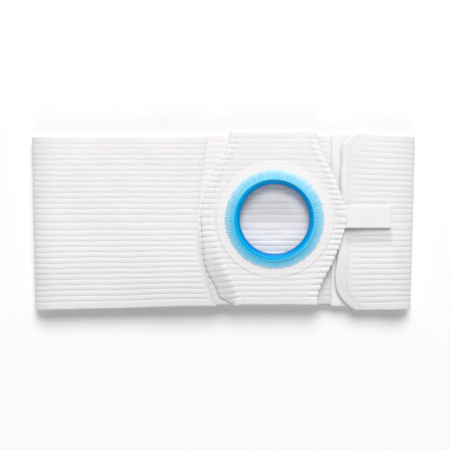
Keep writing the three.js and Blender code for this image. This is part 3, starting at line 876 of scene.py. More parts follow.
def place_group(tree, group, **values):
    """A node group placed in a material, reading the cloth's own places."""
    laid = tree.nodes.new("ShaderNodeAttribute")
    laid.attribute_name = "cloth"
    node = tree.nodes.new("ShaderNodeGroup")
    node.node_tree = group
    tree.links.new(laid.outputs["Vector"], node.inputs["Cloth"])
    for label, value in values.items():
        node.inputs[label.replace("_", " ")].default_value = value
    return node.outputs["Height"], node.outputs["Shade"], node.outputs["Tone"]


def cloth_material(name, finish):
    """The material of one of the cloths, made the first time that it is asked for."""
    if name in bpy.data.materials:
        return bpy.data.materials[name]
    cloth = CLOTHS[name]
    material, tree, shader = new_material(
        name, cloth["roughness"], Sheen_Weight=0.03, Specular_IOR_Level=0.2,
        Subsurface_Weight=cloth["through"], Subsurface_Scale=0.002,
    )
    height, shade, tone = place_group(
        tree, cloth_grain_group(),
        Along_Pitch=cloth["along"], Across_Pitch=cloth["across"], Fuzz=cloth["fuzz"],
    )
    light, dark = getattr(finish, cloth["colour"]), getattr(finish, cloth["colour"] + "_shade")
    # Painted shade between the yarns, with random patches, and darker still where the cloth's tone carries
    # painted shade.
    two_colours(tree, shader, shade, dark, light, tone)
    relief(tree, shader, height, cloth["relief"])
    return material


def blue_ring(finish):
    material, tree, shader = new_material("moulded plastic", 0.3, Specular_IOR_Level=0.08)
    laid = tree.nodes.new("ShaderNodeAttribute")
    laid.attribute_name = "cloth"
    split = tree.nodes.new("ShaderNodeSeparateXYZ")
    tree.links.new(laid.outputs["Vector"], split.inputs[0])
    # The inner lip takes the darker blue of painted shade, and the round face takes the ring's own blue.
    two_colours(tree, shader, split.outputs["X"], finish.ring_lip_shade, finish.ring)
    place = tree.nodes.new("ShaderNodeTexCoord")
    relief(tree, shader, noise_node(tree, place.outputs["Object"], 900, 2), 0.00003, 0.5)
    return material


def blue_thread(finish):
    material, tree, shader = new_material("zigzag thread", 0.45, Specular_IOR_Level=0.5)
    height, shade, tone = place_group(tree, thread_twist_group(), Pitch=0.0007)
    # Painted shade between the strands, and a painted highlight towards the pale blue where the tone leaves
    # 1.
    two_colours(tree, shader, shade, finish.thread_dark, finish.thread, tone, finish.thread_highlight)
    relief(tree, shader, height, 0.00004)
    return material


def white_thread(finish):
    material, tree, shader = new_material("seam thread", 0.7, Specular_IOR_Level=0.25)
    height, shade, tone = place_group(tree, thread_twist_group(), Pitch=0.0006)
    # Painted shade between the strands of the white thread.
    two_colours(tree, shader, shade, finish.fabric_shade, finish.white_thread, tone)
    relief(tree, shader, height, 0.00003)
    return material


def pale_floor(finish):
    material, tree, shader = new_material("plain floor", 0.7)
    place = tree.nodes.new("ShaderNodeTexCoord")
    share = noise_node(tree, place.outputs["Object"], 3, 2)
    two_colours(tree, shader, share, finish.floor, tuple(0.99 * part for part in finish.floor))
    return material


# Operators

RIB_SAMPLES = {"band": 7, "carrier": 6, "panel": 8}


def finish_piece(piece, slot, *nodes):
    """A piece rides on the belt and stands for the given solids, which it hides. Its slot is not used."""
    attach(piece, BODY)
    if nodes:
        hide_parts(*nodes)


class PieceOperator:
    """What the operators of the belt's pieces share. Each of them builds its piece in build."""

    def execute(self, context):
        sizes = context.scene.hernia_belt
        self.build(sizes, Layers(sizes))
        return {"FINISHED"}


class BELT_OT_stage(bpy.types.Operator):
    """Floor, soft light and the camera that looks straight down"""

    bl_idname = "belt.stage"
    bl_label = "Stage"

    def execute(self, context):
        scene = context.scene
        corners = np.array([[-1, -1, 0], [1, -1, 0], [1, 1, 0], [-1, 1, 0]]) * FLOOR_SIDE
        mesh = bpy.data.meshes.new("pale_floor")
        mesh.from_pydata((corners - (0, 0, FLOOR_CLEARANCE)).tolist(), [], [(0, 1, 2, 3)])
        mesh.materials.append(pale_floor(scene.hernia_belt.finish))
        self.placed(scene, "pale_floor", mesh, (0, 0, 0))

        for light in LIGHTS:
            self.add_light(scene, **light)
        world = bpy.data.worlds.new("soft_surround")
        world.use_nodes = True
        world.node_tree.nodes["Background"].inputs["Color"].default_value = (1, 1, 1, 1)
        world.node_tree.nodes["Background"].inputs["Strength"].default_value = SURROUND
        scene.world = world
        scene.view_settings.view_transform = "Standard"

        camera = bpy.data.cameras.new("camera")
        camera.lens = CAMERA["lens"]
        camera.sensor_width = CAMERA["sensor"]
        distance = CAMERA["picture_width"] * camera.lens / camera.sensor_width
        place = (CAMERA["x"], CAMERA["y"], CAMERA["focus"] + distance)
        scene.camera = self.placed(scene, "camera", camera, place)
        return {"FINISHED"}

    def placed(self, scene, name, data, place):
        """A new object in the scene."""
        holder = bpy.data.objects.new(name, data)
        holder.location = place
        scene.collection.objects.link(holder)
        return holder

    def add_light(self, scene, name, place, size, power):
        light = bpy.data.lights.new(name, "AREA")
        light.shape = "DISK"
        light.size = size
        light.energy = power
        holder = self.placed(scene, name, light, place)
        holder.rotation_euler = Vector(place).to_track_quat("Z", "Y").to_euler()


# Stations along each stretch of the band.
BAND_STEPS = {
    "end": 2, "lap": 14, "left front": 52, "fold": 22, "back": 80, "right front": 10, "free end": 20,
}

# The lap's end on the carrier. Its lower half thins out by a taper of its thickness, and flattens its ribs.
# Its upper half drops and presses down, in metres.
LAP_END = {"taper": 1.35, "flatten": 0.6, "drop": 0.0011, "press": 0.0002}

# How far the back layer rises towards the opening.
BACK_RISE = 0.0106


class BELT_OT_band(PieceOperator, bpy.types.Operator):
    """The long ribbed elastic, from its lap round both folds to the ends of its ribs"""

    bl_idname = "belt.band"
    bl_label = "Ribbed band"

    def build(self, sizes, layers):
        band = sizes.band
        y, relief_rows = ribbed_rows(band.width, band, RIB_SAMPLES["band"])
        x, z, normal_x, normal_z, across = self.middle(layers, y)
        run = np.hypot(np.diff(x, axis=0), np.diff(z, axis=0)).cumsum(0)
        along = np.concatenate([np.zeros((1, len(y))), run]) - layers.lap_edge_at(y)
        waver = uneven("band waver", along, y) + uneven("band ripple", along, y)
        end = fade("rib ends", along - along[-1])
        lap = fade("lap end", along - along[0])
        upper_lap = lap * fade("upper half of lap", y)
        lower_lap = lap - upper_lap
        ribs = lerp(relief_rows, END_LEVEL, np.maximum(end, LAP_END["flatten"] * lower_lap))
        ribs = ribs * (1 + uneven("band swell", along, y))
        half = half_thickness(y, ribs, band.width, band.thickness, band.groove)[:, :, None]
        top = half * (1 - LAP_END["taper"] * lower_lap)[:, :, None] - LAP_END["drop"] * upper_lap[:, :, None]
        normal = np.stack([normal_x, np.zeros_like(normal_x), normal_z], 2)
        middle = grid_points(x, layers.belt_y + across + waver, z - LAP_END["press"] * upper_lap)
        # Painted shade: the front stretches are darkened beside the folds, along the lower edge, below the
        # tab and on the lap's lower half, and so is the back layer's inner face behind the opening.
        tone = layers.front_painted_shade(x, across) - PAINTED_SHADE["lap"] * lap * fade("lower half of lap", -y)
        tone = np.where(z > layers.left_top / 2, tone, 1)
        inner_painted_shade = np.where(normal_z < 0, layers.opening_painted_shade(x, across), tone)
        piece = make_sheet(
            "ribbed_band", middle + normal * top, middle - normal * half, along, y,
            cloth_material("ribbed elastic", sizes.finish), tone=tone, lower_tone=inner_painted_shade,
        )
        finish_piece(piece, "white_elastic", "belt_band")

    def middle(self, layers, y):
        """Middle surface of the band: x, z, outward normal and place across, for each station and row."""
        band, gap = layers.band, layers.fastening.gap
        left_top = layers.left_fold_at(y) + band.fold_reach
        right_top = layers.right_fold_at(y) - band.fold_reach
        lap_start = layers.carrier_left - gap + 0 * y
        stack_end = layers.carrier_right + gap + 0 * y
        lap_edge, rib_end = layers.lap_edge_at(y), layers.rib_end_at(y)

        def flat(stretch, steps, start, end, height, facing, first=1):
            x = lerp(start, end, np.linspace(0, 1, BAND_STEPS[steps] + 1)[first:, None])
            return stretch, x, height(x, y), 0 * x, 0 * x + facing

        def fold(stretch, fold_at, side, top):
            turn = np.linspace(0, math.pi, BAND_STEPS["fold"] + 1)[1:, None]
            out, up = np.sin(turn), -side * np.cos(turn)
            rise = (top - layers.back_mid) / 2
            size = np.hypot(rise * out, band.fold_reach * up)
            x = fold_at(y) - side * band.fold_reach * (1 - out)
            z = layers.back_mid + rise * (1 + up) + 0 * x
            return stretch, x, z, side * rise * out / size + 0 * x, band.fold_reach * up / size + 0 * x

        def lap_height(x, y):
            return layers.lap_mid(layers.carrier_left, y) + 0 * x

        def front_height(x, y):
            calm = fade("after left fold", x - layers.left_fold)
            calm = calm * fade("before lap", lap_start - x)
            return layers.left_front_mid(x, y) + calm * uneven("front level", x, y)

        def back_height(x, y):
            away = np.hypot(x - layers.ring_x, y - layers.ring_y) / layers.patch_radius
            waves = uneven("back level", x, y) + uneven("back ripple", x, y)
            return layers.back_mid + fade("behind opening", away) * (BACK_RISE + waves)

        def end_height(x, y):
            return layers.free_end_mid(layers.loop_left, y) + 0 * x

        stretches = [
            flat("left front", "end", lap_edge, lap_edge - END_ROWS, lap_height, 1, 0),
            flat("left front", "lap", lap_edge - END_ROWS, lap_start, lap_height, 1),
            flat("left front", "left front", lap_start, left_top, front_height, 1),
            fold("left front", layers.left_fold_at, -1, layers.left_top),
            flat("back", "back", left_top, right_top, back_height, -1),
            fold("right front", layers.right_fold_at, 1, layers.right_top),
            flat("right front", "right front", right_top, stack_end, layers.right_front_mid, 1),
            flat("right front", "free end", stack_end, rib_end + END_ROWS, end_height, 1),
            flat("right front", "end", rib_end + END_ROWS, rib_end, end_height, 1),
        ]
        across = [layers.spread(stretch, x, y) for stretch, x, *_ in stretches]
        columns = [np.concatenate(parts) for parts in list(zip(*stretches))[1:]]
        return (*columns, np.concatenate(across))


# The carrier. Fine is how far left of the panel's middle its close stations start, and lower is how much its
# lower half spreads.
CARRIER = {"left_steps": 32, "steps": 91, "fine": 0.03, "lower": 1.05}


class BELT_OT_carrier(PieceOperator, bpy.types.Operator):
    """The short ribbed elastic that carries the panel and joins the band's ends"""

    bl_idname = "belt.carrier"
    bl_label = "Carrier"

    def build(self, sizes, layers):
        panel = sizes.panel
        row, relief_rows = ribbed_rows(panel.carrier_width, sizes.band, RIB_SAMPLES["carrier"])
        fine = layers.panel_x - CARRIER["fine"]
        left = np.linspace(layers.carrier_left, fine, CARRIER["left_steps"])
        rest = np.linspace(fine, layers.carrier_right, CARRIER["steps"])[1:]
        x, y = np.meshgrid(np.concatenate([left, rest]), panel.raised + row, indexing="ij")
        x, y, keep = cut_round(x, y, layers.ring_x, layers.ring_y, layers.hole_radius)
        ribs = relief_rows * (1 + uneven("carrier swell", x, y))
        half = half_thickness(row, ribs, panel.carrier_width, panel.carrier_thickness, panel.carrier_groove)
        across = layers.belt_y + y * np.where(y < 0, CARRIER["lower"], 1) + uneven("carrier waver", x, 0 * y)
        # Painted shade on the carrier's lower half beside the panel, where it lies sunk between the layers.
        carrier_shade_mask = fade("lower half of carrier", -y) * fade("carrier ends", np.abs(x - layers.panel_x))
        piece = laid_sheet(
            "ribbed_carrier", x, across, layers.carrier_mid(x, y), half, y,
            cloth_material("ribbed elastic", sizes.finish), keep, 1 - PAINTED_SHADE["carrier ends"] * carrier_shade_mask,
        )
        finish_piece(piece, "white_elastic", "front_carrier")


# Stations of the panel's border and of its middle, and how closely the border's crowd at its edge.
PANEL_STEPS = {"border": 17, "middle": 67, "crowding": 1.15}

# The panel's border. Corner is how far its bottom left corner is cut back and drop how far its edge falls, in
# metres. Strength is the share of the table's puckers outside its lower right. Crest and groove
# are the shares of thickness of its smooth lower left flank. Under is the lower face's share of thickness.
# The powers shape the edge's lean and its fall, and stride is how much each rib differs from the next.
BORDER = {
    "corner": 0.0045,
    "drop": 0.0006,
    "strength": 0.45,
    "crest": 0.8,
    "groove": 1.1,
    "under": 0.45,
    "lean_power": 1.3,
    "drop_power": 1.5,
    "stride": 1.7,
}


class BELT_OT_panel(PieceOperator, bpy.types.Operator):
    """The eight-sided panel with puckered edges and its round opening"""

    bl_idname = "belt.panel"
    bl_label = "Puckered panel"

    def build(self, sizes, layers):
        panel = sizes.panel
        row, relief_rows = ribbed_rows(panel.height, sizes.band, RIB_SAMPLES["panel"])
        steps = PANEL_STEPS["border"]
        border = np.linspace(0, 1, steps) ** PANEL_STEPS["crowding"] * PUCKER[-1]["inset"]
        inner = np.linspace(-1, 1, PANEL_STEPS["middle"])[1:-1]
        side = np.concatenate([-np.ones(steps), inner, np.ones(steps)])[:, None]
        inset = np.concatenate([border, np.full(len(inner), border[-1]), border[::-1]])[:, None]
        half_width = layers.panel_half_width(row)
        in_border = 1 - np.clip(inset / PUCKER[-2]["inset"], 0, 1)
        number = np.round(row / sizes.band.rib_pitch)
        lively = 1 + uneven("pucker", number * BORDER["stride"], side)
        crest = from_table(PUCKER, "inset", "crest", inset)
        groove = from_table(PUCKER, "inset", "groove", inset)
        reach = panel.pucker_reach * from_table(PUCKER, "inset", "reach", inset)
        flank = np.clip(1 - inset / PUCKER[1]["inset"], 0, 1)
        low_left = (side < 0) * fade("lower left border", -row)
        corner = fade("bottom corner", -row)
        out = reach * relief_rows * lively + panel.skirt * low_left * flank * corner
        out = out - BORDER["corner"] * low_left * flank * (1 - corner)
        x = layers.panel_x + side * (half_width - panel.pucker_width * inset + out)
        y = panel.raised + row + 0 * x
        x, y, keep = cut_round(x, y, layers.ring_x, layers.ring_y, layers.hole_radius)
        ribs = relief_rows * (1 + uneven("panel swell", x, y))
        half = half_thickness(row, ribs, panel.height, panel.thickness, panel.groove)
        strength = lerp(BORDER["strength"], 1, (side > 0) * fade("lower right border", -row))
        smoothed = low_left * fade("smooth border", inset)
        crest = lerp(1 + (crest - 1) * lerp(1, lively * strength, in_border), BORDER["crest"], smoothed)
        groove = lerp(1 + (groove - 1) * lerp(1, strength, in_border), BORDER["groove"], smoothed)
        mid = layers.panel_mid(y) + layers.tip_lift(x)
        slant = panel.slant * low_left * np.clip(1 - inset, 0, 1) ** BORDER["lean_power"]
        across = layers.belt_y + y + layers.gathered(x, y) - slant + uneven("panel waver", x, y)
        drop = flank ** BORDER["drop_power"] * (BORDER["drop"] + panel.skirt_fall * low_left)
        # Painted shade along the panel's lower left border and towards its lower edge.
        tone = 1 - PAINTED_SHADE["lower left border"] * low_left * fade("shaded border", inset)
        tone = tone - PAINTED_SHADE["panel lower edge"] * fade("panel lower edge", -row)
        under = np.minimum(half, BORDER["under"] * panel.thickness) * np.minimum(1, crest)
        upper = grid_points(x, across, mid + half * lerp(groove, crest, relief_rows) - drop)
        lower = grid_points(x, across, mid - under - drop)
        cloth = cloth_material("ribbed elastic", sizes.finish)
        piece = make_sheet("puckered_panel", upper, lower, x, y, cloth, keep, tone)
        finish_piece(piece, "white_elastic", "support_panel")


# How far beyond the ring and beyond the stitches the patch is drawn up.
DRAWN_FROM = 0.0006
DRAWN_TO = 0.0012


def padding(opening, radius):
    """How far the stitched stretch of the patch is drawn up towards the ring."""
    ring = opening.diameter / 2 + opening.ring_width
    return opening.padding * (1 - smoothstep(radius, ring + DRAWN_FROM, opening.stitch_reach + DRAWN_TO))


# The patch's section, in shares of its thickness: at its very edge, just inside it, what its full thickness
# adds, and its rim at the lower left. Rim and edge reach are in shares of the rim's width.
PATCH = {
    "steps": 40, "turns": 240, "clearance": 0.00005,
    "edge": 0.04, "inside": 0.17, "full": 0.55,
    "rim": 0.12, "rim_reach": 1.3, "edge_reach": 0.5, "power": 0.7,
}


class BELT_OT_patch(PieceOperator, bpy.types.Operator):
    """The smooth round patch around the opening"""

    bl_idname = "belt.patch"
    bl_label = "Smooth patch"

    def build(self, sizes, layers):
        opening, panel = sizes.opening, sizes.panel
        radius = np.linspace(layers.hole_radius, layers.patch_radius, PATCH["steps"])[:, None]
        angle = 2 * math.pi * np.arange(PATCH["turns"] + 1) / PATCH["turns"]
        x = layers.ring_x + radius * np.cos(angle)
        y = layers.ring_y + radius * np.sin(angle)
        from_edge = (layers.patch_radius - radius) / opening.rim
        row, relief_rows = ribbed_rows(panel.height, sizes.band, RIB_SAMPLES["panel"])
        crest = np.interp(y - panel.raised - layers.gathered(x, y), row, relief_rows)
        ribs = layers.panel_mid(y) + layers.tip_lift(x) + lerp(panel.groove, panel.thickness, crest) / 2
        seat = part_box("opening_patch")[0].z
        low = lerp(ribs + PATCH["clearance"], seat, fade("patch off ribs", from_edge))
        low_left = 0.5 - 0.5 * np.cos(angle - 0.25 * math.pi)
        rim = np.sin(np.clip(from_edge / PATCH["rim_reach"], 0, 1) ** PATCH["power"] * math.pi)
        edge = np.clip(from_edge / PATCH["edge_reach"], 0, 1) ** PATCH["power"]
        top = lerp(PATCH["edge"], PATCH["inside"], edge) + PATCH["full"] * fade("patch rim rises", from_edge)
        top = opening.patch_thickness * (top + rim * lerp(0, PATCH["rim"], low_left))
        top = top + padding(opening, radius)
        number = np.arange(PATCH["steps"] * PATCH["turns"]).reshape(PATCH["steps"], PATCH["turns"])
        faces = self.joined(np.concatenate([number, number[:, :1]], 1), number.size)
        across = layers.belt_y + y
        points = [grid_points(x, across, z)[:, :-1].reshape(-1, 3) for z in (low + top, low)]
        cloth = np.stack([x, y, np.ones_like(x)], 2)[:, :-1].reshape(-1, 3)
        piece = make_mesh(
            "smooth_patch", np.concatenate(points), faces, cloth_material("smooth fabric", sizes.finish),
            np.concatenate([cloth, cloth]),
        )
        finish_piece(piece, "white_fabric", "opening_patch")

    def joined(self, number, under):
        """Faces of a ring of cloth whose last column is its first one."""
        a, b, c, d = number[:-1, :-1], number[:-1, 1:], number[1:, 1:], number[1:, :-1]
        quads = np.stack([a, b, c, d], 2).reshape(-1, 4)
        inner, outer = number[0], number[-1]
        walls = [
            np.stack([inner[1:], inner[:-1], inner[:-1] + under, inner[1:] + under], 1),
            np.stack([outer[:-1], outer[1:], outer[1:] + under, outer[:-1] + under], 1),
        ]
        return np.concatenate([quads, quads[:, ::-1] + under, *walls])


RING_TURNS = 288
RING_ROUNDINGS = 3
RING_FOOT = 0.0006


class BELT_OT_ring(PieceOperator, bpy.types.Operator):
    """The moulded blue ring, with shade painted on its inner lip"""

    bl_idname = "belt.ring"
    bl_label = "Ring"

    def build(self, sizes, layers):
        opening = sizes.opening
        low, high = (corner.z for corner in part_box("opening_ring"))
        seat = high - opening.ring_height
        wall = layers.open_radius + opening.sleeve_wall
        section = [(layers.open_radius, low), (wall, low), (wall, seat - RING_FOOT), (wall, seat)]
        section += [
            (layers.open_radius + row["out"] * opening.ring_width, seat + row["up"] * opening.ring_height)
            for row in RING_SECTION
        ]
        for _ in range(RING_ROUNDINGS):
            section = self.rounded(section)
        section = np.array(section)
        angle = (2 * math.pi * np.arange(RING_TURNS) / RING_TURNS)[:, None]
        points = grid_points(
            layers.ring_x + section[:, 0] * np.cos(angle),
            layers.belt_y + layers.ring_y + section[:, 0] * np.sin(angle),
            section[:, 1],
        )
        number = np.arange(points.shape[0] * points.shape[1]).reshape(points.shape[:2])
        ahead, beside = np.roll(number, -1, 0), np.roll(number, -1, 1)
        faces = np.stack([number, ahead, np.roll(ahead, -1, 1), beside], 2).reshape(-1, 4)
        # Where the painted shade of the inner lip gives way to the face's own blue.
        on_face = fade("ring face", (section[:, 0] - layers.open_radius) / opening.ring_width)
        cloth = grid_points(on_face, 0 * angle, 0.0)
        piece = make_mesh(
            "moulded_ring", points.reshape(-1, 3), faces, blue_ring(sizes.finish), cloth.reshape(-1, 3)
        )
        finish_piece(piece, "blue_ring", "opening_ring")

    def rounded(self, section):
        """A closed section with its corners cut."""
        following = section[1:] + section[:1]
        cut = []
        for (r0, z0), (r1, z1) in zip(section, following):
            cut.append((0.75 * r0 + 0.25 * r1, 0.75 * z0 + 0.25 * z1))
            cut.append((0.25 * r0 + 0.75 * r1, 0.25 * z0 + 0.75 * z1))
        return cut


# The zigzag's thread over the patch and the ring. Seat is the share of the patch's thickness that carries it,
# lie its middle's height over that, ring its clearance over the ring, dip how far a stitch's outer end goes
# down, and slope how far out from the opening it comes down from the ring, as a share of the ring's width.
# The lower thread reaches less far and lies deeper.
ZIGZAG = {
    "steps": 10, "seat": 0.9, "lie": 0.00018, "ring": 0.0001, "dip": 0.0003, "slope": 1.35,
    "lower_reach": 0.84, "lower_depth": 0.00035,
}

# How far stitches differ in length, and in the strength of their painted highlight, from one to the next.
STITCH_REACH = (0.985, 1.008)
STITCH_SHINE = (0.75, 1.12)

# Painted highlight: how far the thread is drawn paler at its inner and outer ends, away from the light and
# towards it. Turn is where the light comes from.
THREAD_HIGHLIGHT = {"inner": 0.12, "inner_light": 0.22, "outer": 0.58, "outer_light": 0.95, "turn": 0.43 * math.pi}
OVERLAP_TURN = 0.25 * math.pi


class BELT_OT_zigzag(PieceOperator, bpy.types.Operator):
    """Blue zigzag stitches round the ring"""

    bl_idname = "belt.zigzag"
    bl_label = "Zigzag stitches"

    def build(self, sizes, layers):
        opening = sizes.opening
        draw = random.Random(7)
        bead = layers.open_radius + opening.bead * opening.ring_width
        bead_width = (1 - opening.bead) * opening.ring_width
        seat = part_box("opening_ring")[1].z - opening.ring_height
        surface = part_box("opening_patch")[0].z + ZIGZAG["seat"] * opening.patch_thickness
        foot = layers.open_radius + ZIGZAG["slope"] * opening.ring_width
        strokes = 2 * opening.zigzags
        stride = 2 * math.pi / strokes
        paths, lower_paths, widths, tones = [], [], [], []
        for stroke in range(strokes):
            start = 2 * math.pi * stroke / strokes
            overlap = opening.overlap * (0.2 + 0.4 * (1 + math.cos(start - OVERLAP_TURN)))
            inner = layers.open_radius + opening.ring_width - overlap
            reach = opening.stitch_reach * draw.uniform(*STITCH_REACH) - inner
            shine = draw.uniform(*STITCH_SHINE)
            flank = math.sqrt(max(0, 1 - ((inner - bead) / bead_width) ** 2))
            rise = seat + flank * opening.ring_height - surface + ZIGZAG["ring"]
            for step in range(ZIGZAG["steps"]):
                share = step / ZIGZAG["steps"]
                run = min(1, max(0, (share - opening.turn) / (1 - 2 * opening.turn)))
                out = run if stroke % 2 == 0 else 1 - run
                angle = start + stride * share
                radius = inner + reach * out
                slope = max(0, 1 - (radius - inner) / (foot - inner))
                height = surface + ZIGZAG["lie"] + max(rise * slope, padding(opening, radius))
                height = height - ZIGZAG["dip"] * fade("stitch end", out)
                lower = lerp(inner, radius, ZIGZAG["lower_reach"])
                paths.append(self.place(angle, radius, height))
                lower_paths.append(self.place(angle + stride, lower, height - ZIGZAG["lower_depth"]))
                widths.append(lerp(opening.thread_inside, opening.thread, out) / 2)
                # Painted highlight: the thread is drawn paler towards its outer end and towards the light.
                light = 0.5 + 0.5 * math.cos(angle - THREAD_HIGHLIGHT["turn"])
                highlight_out = lerp(THREAD_HIGHLIGHT["outer"], THREAD_HIGHLIGHT["outer_light"], light)
                tones.append(1 - shine * lerp(THREAD_HIGHLIGHT["inner"] + THREAD_HIGHLIGHT["inner_light"] * light, highlight_out, out))
        path = np.array([paths, lower_paths]) + (layers.ring_x, layers.belt_y + layers.ring_y, 0)
        points, faces, cloth = tube(path, np.array(widths), closed=True, tone=np.array(tones))
        piece = make_mesh("zigzag_thread", points, faces, blue_thread(sizes.finish), cloth)
        finish_piece(piece, "blue_thread")

    def place(self, angle, radius, height):
        """A place round the opening's middle."""
        return radius * math.cos(angle), radius * math.sin(angle), height


# Stations along a fastening strip, closer together at its ends, and how far the carrier's ribs show through.
STRIP_SHARES = np.concatenate([[0, 0.002, 0.008, 0.02], np.linspace(0.04, 0.96, 22), [0.98, 0.992, 0.998, 1]])
STRIP_ROWS = 61
STRIP_RIBS = 0.00035


class BELT_OT_fastening(PieceOperator, bpy.types.Operator):
    """The loop and hook patches under the free end"""

    bl_idname = "belt.fastening"
    bl_label = "Fastening patches"

    def build(self, sizes, layers):
        fastening = sizes.fastening
        hook_left = layers.free_end + fastening.hook_inset
        self.add_patch(
            sizes, layers, "loop_strip", "loop_patch", (layers.loop_left, layers.loop_right),
            fastening.loop_width, fastening.loop_thickness, layers.loop_mid,
        )
        self.add_patch(
            sizes, layers, "hook_strip", "hook_patch", (hook_left, hook_left + fastening.hook_length),
            fastening.hook_width, fastening.hook_thickness, layers.hook_mid,
        )

    def add_patch(self, sizes, layers, name, node, ends, width, thickness, mid):
        """A plain patch that follows the layers it lies between."""
        row = plain_rows(width, STRIP_ROWS)
        x, y = np.meshgrid(lerp(*ends, STRIP_SHARES), sizes.panel.raised / 2 + row, indexing="ij")
        from_end = np.minimum(x - ends[0], ends[1] - x)
        rounded = np.sqrt(1 - 0.9 * (1 - np.clip(from_end / (2 * thickness), 0, 1)) ** 2)
        half = half_thickness(row, 1, width, thickness, thickness) * rounded
        half = half * (1 + uneven("strip swell", x, y))
        ribs, relief_rows = ribbed_rows(sizes.panel.carrier_width, sizes.band, RIB_SAMPLES["carrier"])
        crest = np.interp(y - sizes.panel.raised, ribs, relief_rows)
        level = mid(x, y) - thickness / 2 * (1 - rounded) - STRIP_RIBS * (1 - crest)
        cloth = cloth_material("loop fabric", sizes.finish)
        piece = laid_sheet(name, x, layers.belt_y + y, level, half, y, cloth)
        finish_piece(piece, "white_fabric", node)


# The bound end. Lap is how far it covers the ends of the ribs, round and upper_round how far its cut edge is
# rounded off, press how far its upper half presses down within a share of the hook's inset, and ribs how much
# of the ribs it smooths away where it meets them. Seam is the slight dip before its inner edge.
BINDING = {
    "lap": 0.0004, "round": 0.0011, "upper_round": 0.0045, "press": 0.0014, "press_reach": 0.8, "ribs": 0.86,
    "seam": 0.03, "seam_width": 0.0009, "seam_place": 2.2, "flat_width": 0.012, "flat_length": 1.03,
}
BINDING_SHARES = np.concatenate([[0, 0.01, 0.04, 0.09], np.linspace(0.16, 0.9, 14), [0.95, 0.985, 0.996, 1]])


class BELT_OT_binding(PieceOperator, bpy.types.Operator):
    """The smooth bound margin of the free end"""

    bl_idname = "belt.binding"
    bl_label = "Bound end"

    def build(self, sizes, layers):
        band = sizes.band
        row, relief_rows = ribbed_rows(band.width, band, RIB_SAMPLES["band"])
        share = BINDING_SHARES[:, None]
        start, end = layers.cut_end_at(row), layers.rib_end_at(row) + BINDING["lap"]
        x = lerp(start, end, share)
        across = layers.belt_y + layers.spread("right front", x, row)
        round_off = lerp(BINDING["round"], BINDING["upper_round"], fade("binding upper half", row))
        from_cut = (x - start) / round_off
        rounded = np.sqrt(1 - 0.88 * (1 - np.clip(from_cut, 0, 1)) ** 2)
        smooth = lerp(1, BINDING["ribs"], fade("binding before ribs", x - end))
        seam = np.exp(-(((x - end) / BINDING["seam_width"] + BINDING["seam_place"]) ** 2))
        pucker = uneven("binding pucker", 0 * x, row) * fade("binding pucker", share)
        ribs = lerp(relief_rows, END_LEVEL, smooth)
        half = half_thickness(row, ribs, band.width, band.thickness, band.groove) * rounded
        half = half * (1 + pucker * (1 - share**8) - BINDING["seam"] * seam)
        level = layers.free_end_mid(layers.loop_left, row) + uneven("binding level", 0 * x, row)
        near_cut = smoothstep(x - start, BINDING["press_reach"] * sizes.fastening.hook_inset, 0)
        level = level - BINDING["press"] * fade("binding pressed", row) * near_cut
        # Painted shade as on the band's front, and darker towards the bound end's lower edge.
        tone = layers.front_painted_shade(x, row) - PAINTED_SHADE["binding lower half"] * fade("binding lower half", -row)
        cloth = cloth_material("woven tape", sizes.finish)
        piece = laid_sheet("bound_end", x, across, level, half, row, cloth, tone=tone)
        finish_piece(piece, "white_tape", "end_binding")


TAB_ROWS = 25
TAB_SHARES = np.concatenate([np.linspace(0, 0.94, 40), [0.965, 0.982, 0.992, 0.998, 1]])
TAB_END_ROUND = 0.0011


class BELT_OT_tab(PieceOperator, bpy.types.Operator):
    """The doubled tape tab at the panel's right tip"""

    bl_idname = "belt.tab"
    bl_label = "Pull tab"

    def build(self, sizes, layers):
        fastening = sizes.fastening
        width, thickness = fastening.tab_width, fastening.tab_thickness
        row = plain_rows(width, TAB_ROWS)
        start = layers.panel_tip - fastening.tab_under_tip
        x, y = np.meshgrid(start + fastening.tab_length * TAB_SHARES, row, indexing="ij")
        y = y + sizes.panel.raised + fastening.tab_raise
        turn = 1 - np.clip((start + fastening.tab_length - x) / TAB_END_ROUND, 0, 1)
        rounded = np.sqrt(np.clip(1 - 0.95 * turn**2, 0, 1))
        half = half_thickness(row, 1, width, thickness, thickness) * rounded
        lift = fastening.tab_lift * (0.5 - row / width) * fade("tab lifts past tip", x - layers.panel_tip)
        level = layers.tab_mid(x, y) + lift + uneven("tab level", x, y)
        cloth = cloth_material("woven tape", sizes.finish)
        piece = laid_sheet("doubled_tab", x, layers.belt_y + y, level, half, y, cloth)
        finish_piece(piece, "white_tape", "pull_tab")


# The white stitches. Spacing is from stitch to stitch in stitch lengths, inset their place in the puckered
# border, groove and crest how high they lie in shares of the panel's thickness, lean how far they follow the
# lean of the lower left border, and raise how far the thread lies on the cloth.
SEAM = {"spacing": 1.4, "points": 6, "inset": 0.6, "groove": 0.74, "crest": 1.14, "lean": 0.3, "raise": 0.3}


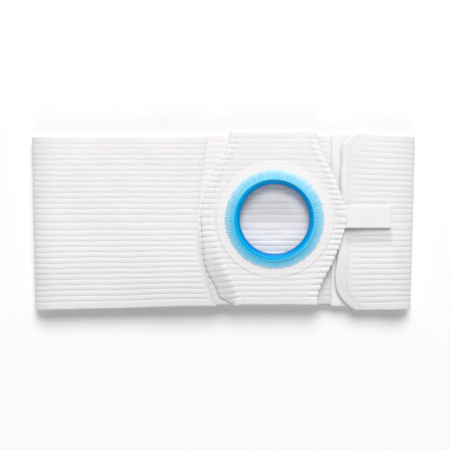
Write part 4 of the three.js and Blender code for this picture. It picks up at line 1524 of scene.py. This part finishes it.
class BELT_OT_seams(PieceOperator, bpy.types.Operator):
    """White stitches along the panel's puckered border"""

    bl_idname = "belt.seams"
    bl_label = "White seams"

    def build(self, sizes, layers):
        panel, thread, stitch = sizes.panel, sizes.fastening.seam_thread, sizes.fastening.seam_stitch
        rib_rows, relief_rows = ribbed_rows(panel.height, sizes.band, RIB_SAMPLES["panel"])
        room = panel.height / 2 - sizes.band.selvedge
        starts = np.linspace(-room, room - stitch, int(2 * room / (SEAM["spacing"] * stitch)))[:, None]
        row = starts + stitch * np.linspace(0, 1, SEAM["points"])
        inset = layers.panel_half_width(row) - SEAM["inset"] * panel.pucker_width
        crest = np.interp(row, rib_rows, relief_rows)
        half = lerp(SEAM["groove"] * panel.groove, SEAM["crest"] * panel.thickness, crest) / 2
        paths = []
        for side in (-1, 1):
            x = layers.panel_x + side * inset
            y = panel.raised + row
            lean = SEAM["lean"] * panel.slant * (side < 0) * fade("lower left border", -row)
            across = layers.belt_y + y + layers.gathered(x, y) - lean
            height = layers.panel_mid(y) + layers.tip_lift(x) + half + SEAM["raise"] * thread
            paths.append(np.stack([x, across, height], 2))
        points, faces, cloth = tube(np.concatenate(paths), thread / 2)
        piece = make_mesh("seam_thread", points, faces, white_thread(sizes.finish), cloth)
        finish_piece(piece, "white_elastic")


class BELT_PT_sidebar(bpy.types.Panel):
    """Lists the belt's pieces"""

    bl_idname = "BELT_PT_sidebar"
    bl_label = "Hernia belt"
    bl_space_type = "VIEW_3D"
    bl_region_type = "UI"
    bl_category = "Belt"

    def draw(self, context):
        for operator in OPERATORS:
            self.layout.operator(operator.bl_idname, text=operator.bl_label)
        sizes = context.scene.hernia_belt
        for group in (sizes.band, sizes.panel, sizes.opening, sizes.fastening, sizes.finish):
            box = self.layout.box()
            for name in group.bl_rna.properties.keys():
                if name not in ("rna_type", "name"):
                    box.prop(group, name)


GROUPS = (BandSizes, PanelSizes, OpeningSizes, FasteningSizes, Finishes, BeltSizes)
OPERATORS = (
    BELT_OT_stage,
    BELT_OT_band,
    BELT_OT_carrier,
    BELT_OT_panel,
    BELT_OT_patch,
    BELT_OT_ring,
    BELT_OT_zigzag,
    BELT_OT_fastening,
    BELT_OT_binding,
    BELT_OT_tab,
    BELT_OT_seams,
)
CLASSES = (*GROUPS, *OPERATORS, BELT_PT_sidebar)


def register():
    """Makes the sizes, the operators and the sidebar known to Blender."""
    for each in CLASSES:
        bpy.utils.register_class(each)
    bpy.types.Scene.hernia_belt = PointerProperty(type=BeltSizes)


def unregister():
    """Takes away what register added."""
    del bpy.types.Scene.hernia_belt
    for each in reversed(CLASSES):
        bpy.utils.unregister_class(each)


def main():
    """Builds the whole belt."""
    register()
    bpy.ops.belt.stage()
    bpy.ops.belt.band()
    bpy.ops.belt.carrier()
    bpy.ops.belt.panel()
    bpy.ops.belt.patch()
    bpy.ops.belt.ring()
    bpy.ops.belt.zigzag()
    bpy.ops.belt.fastening()
    bpy.ops.belt.binding()
    bpy.ops.belt.tab()
    bpy.ops.belt.seams()


if __name__ == "__main__":
    main()
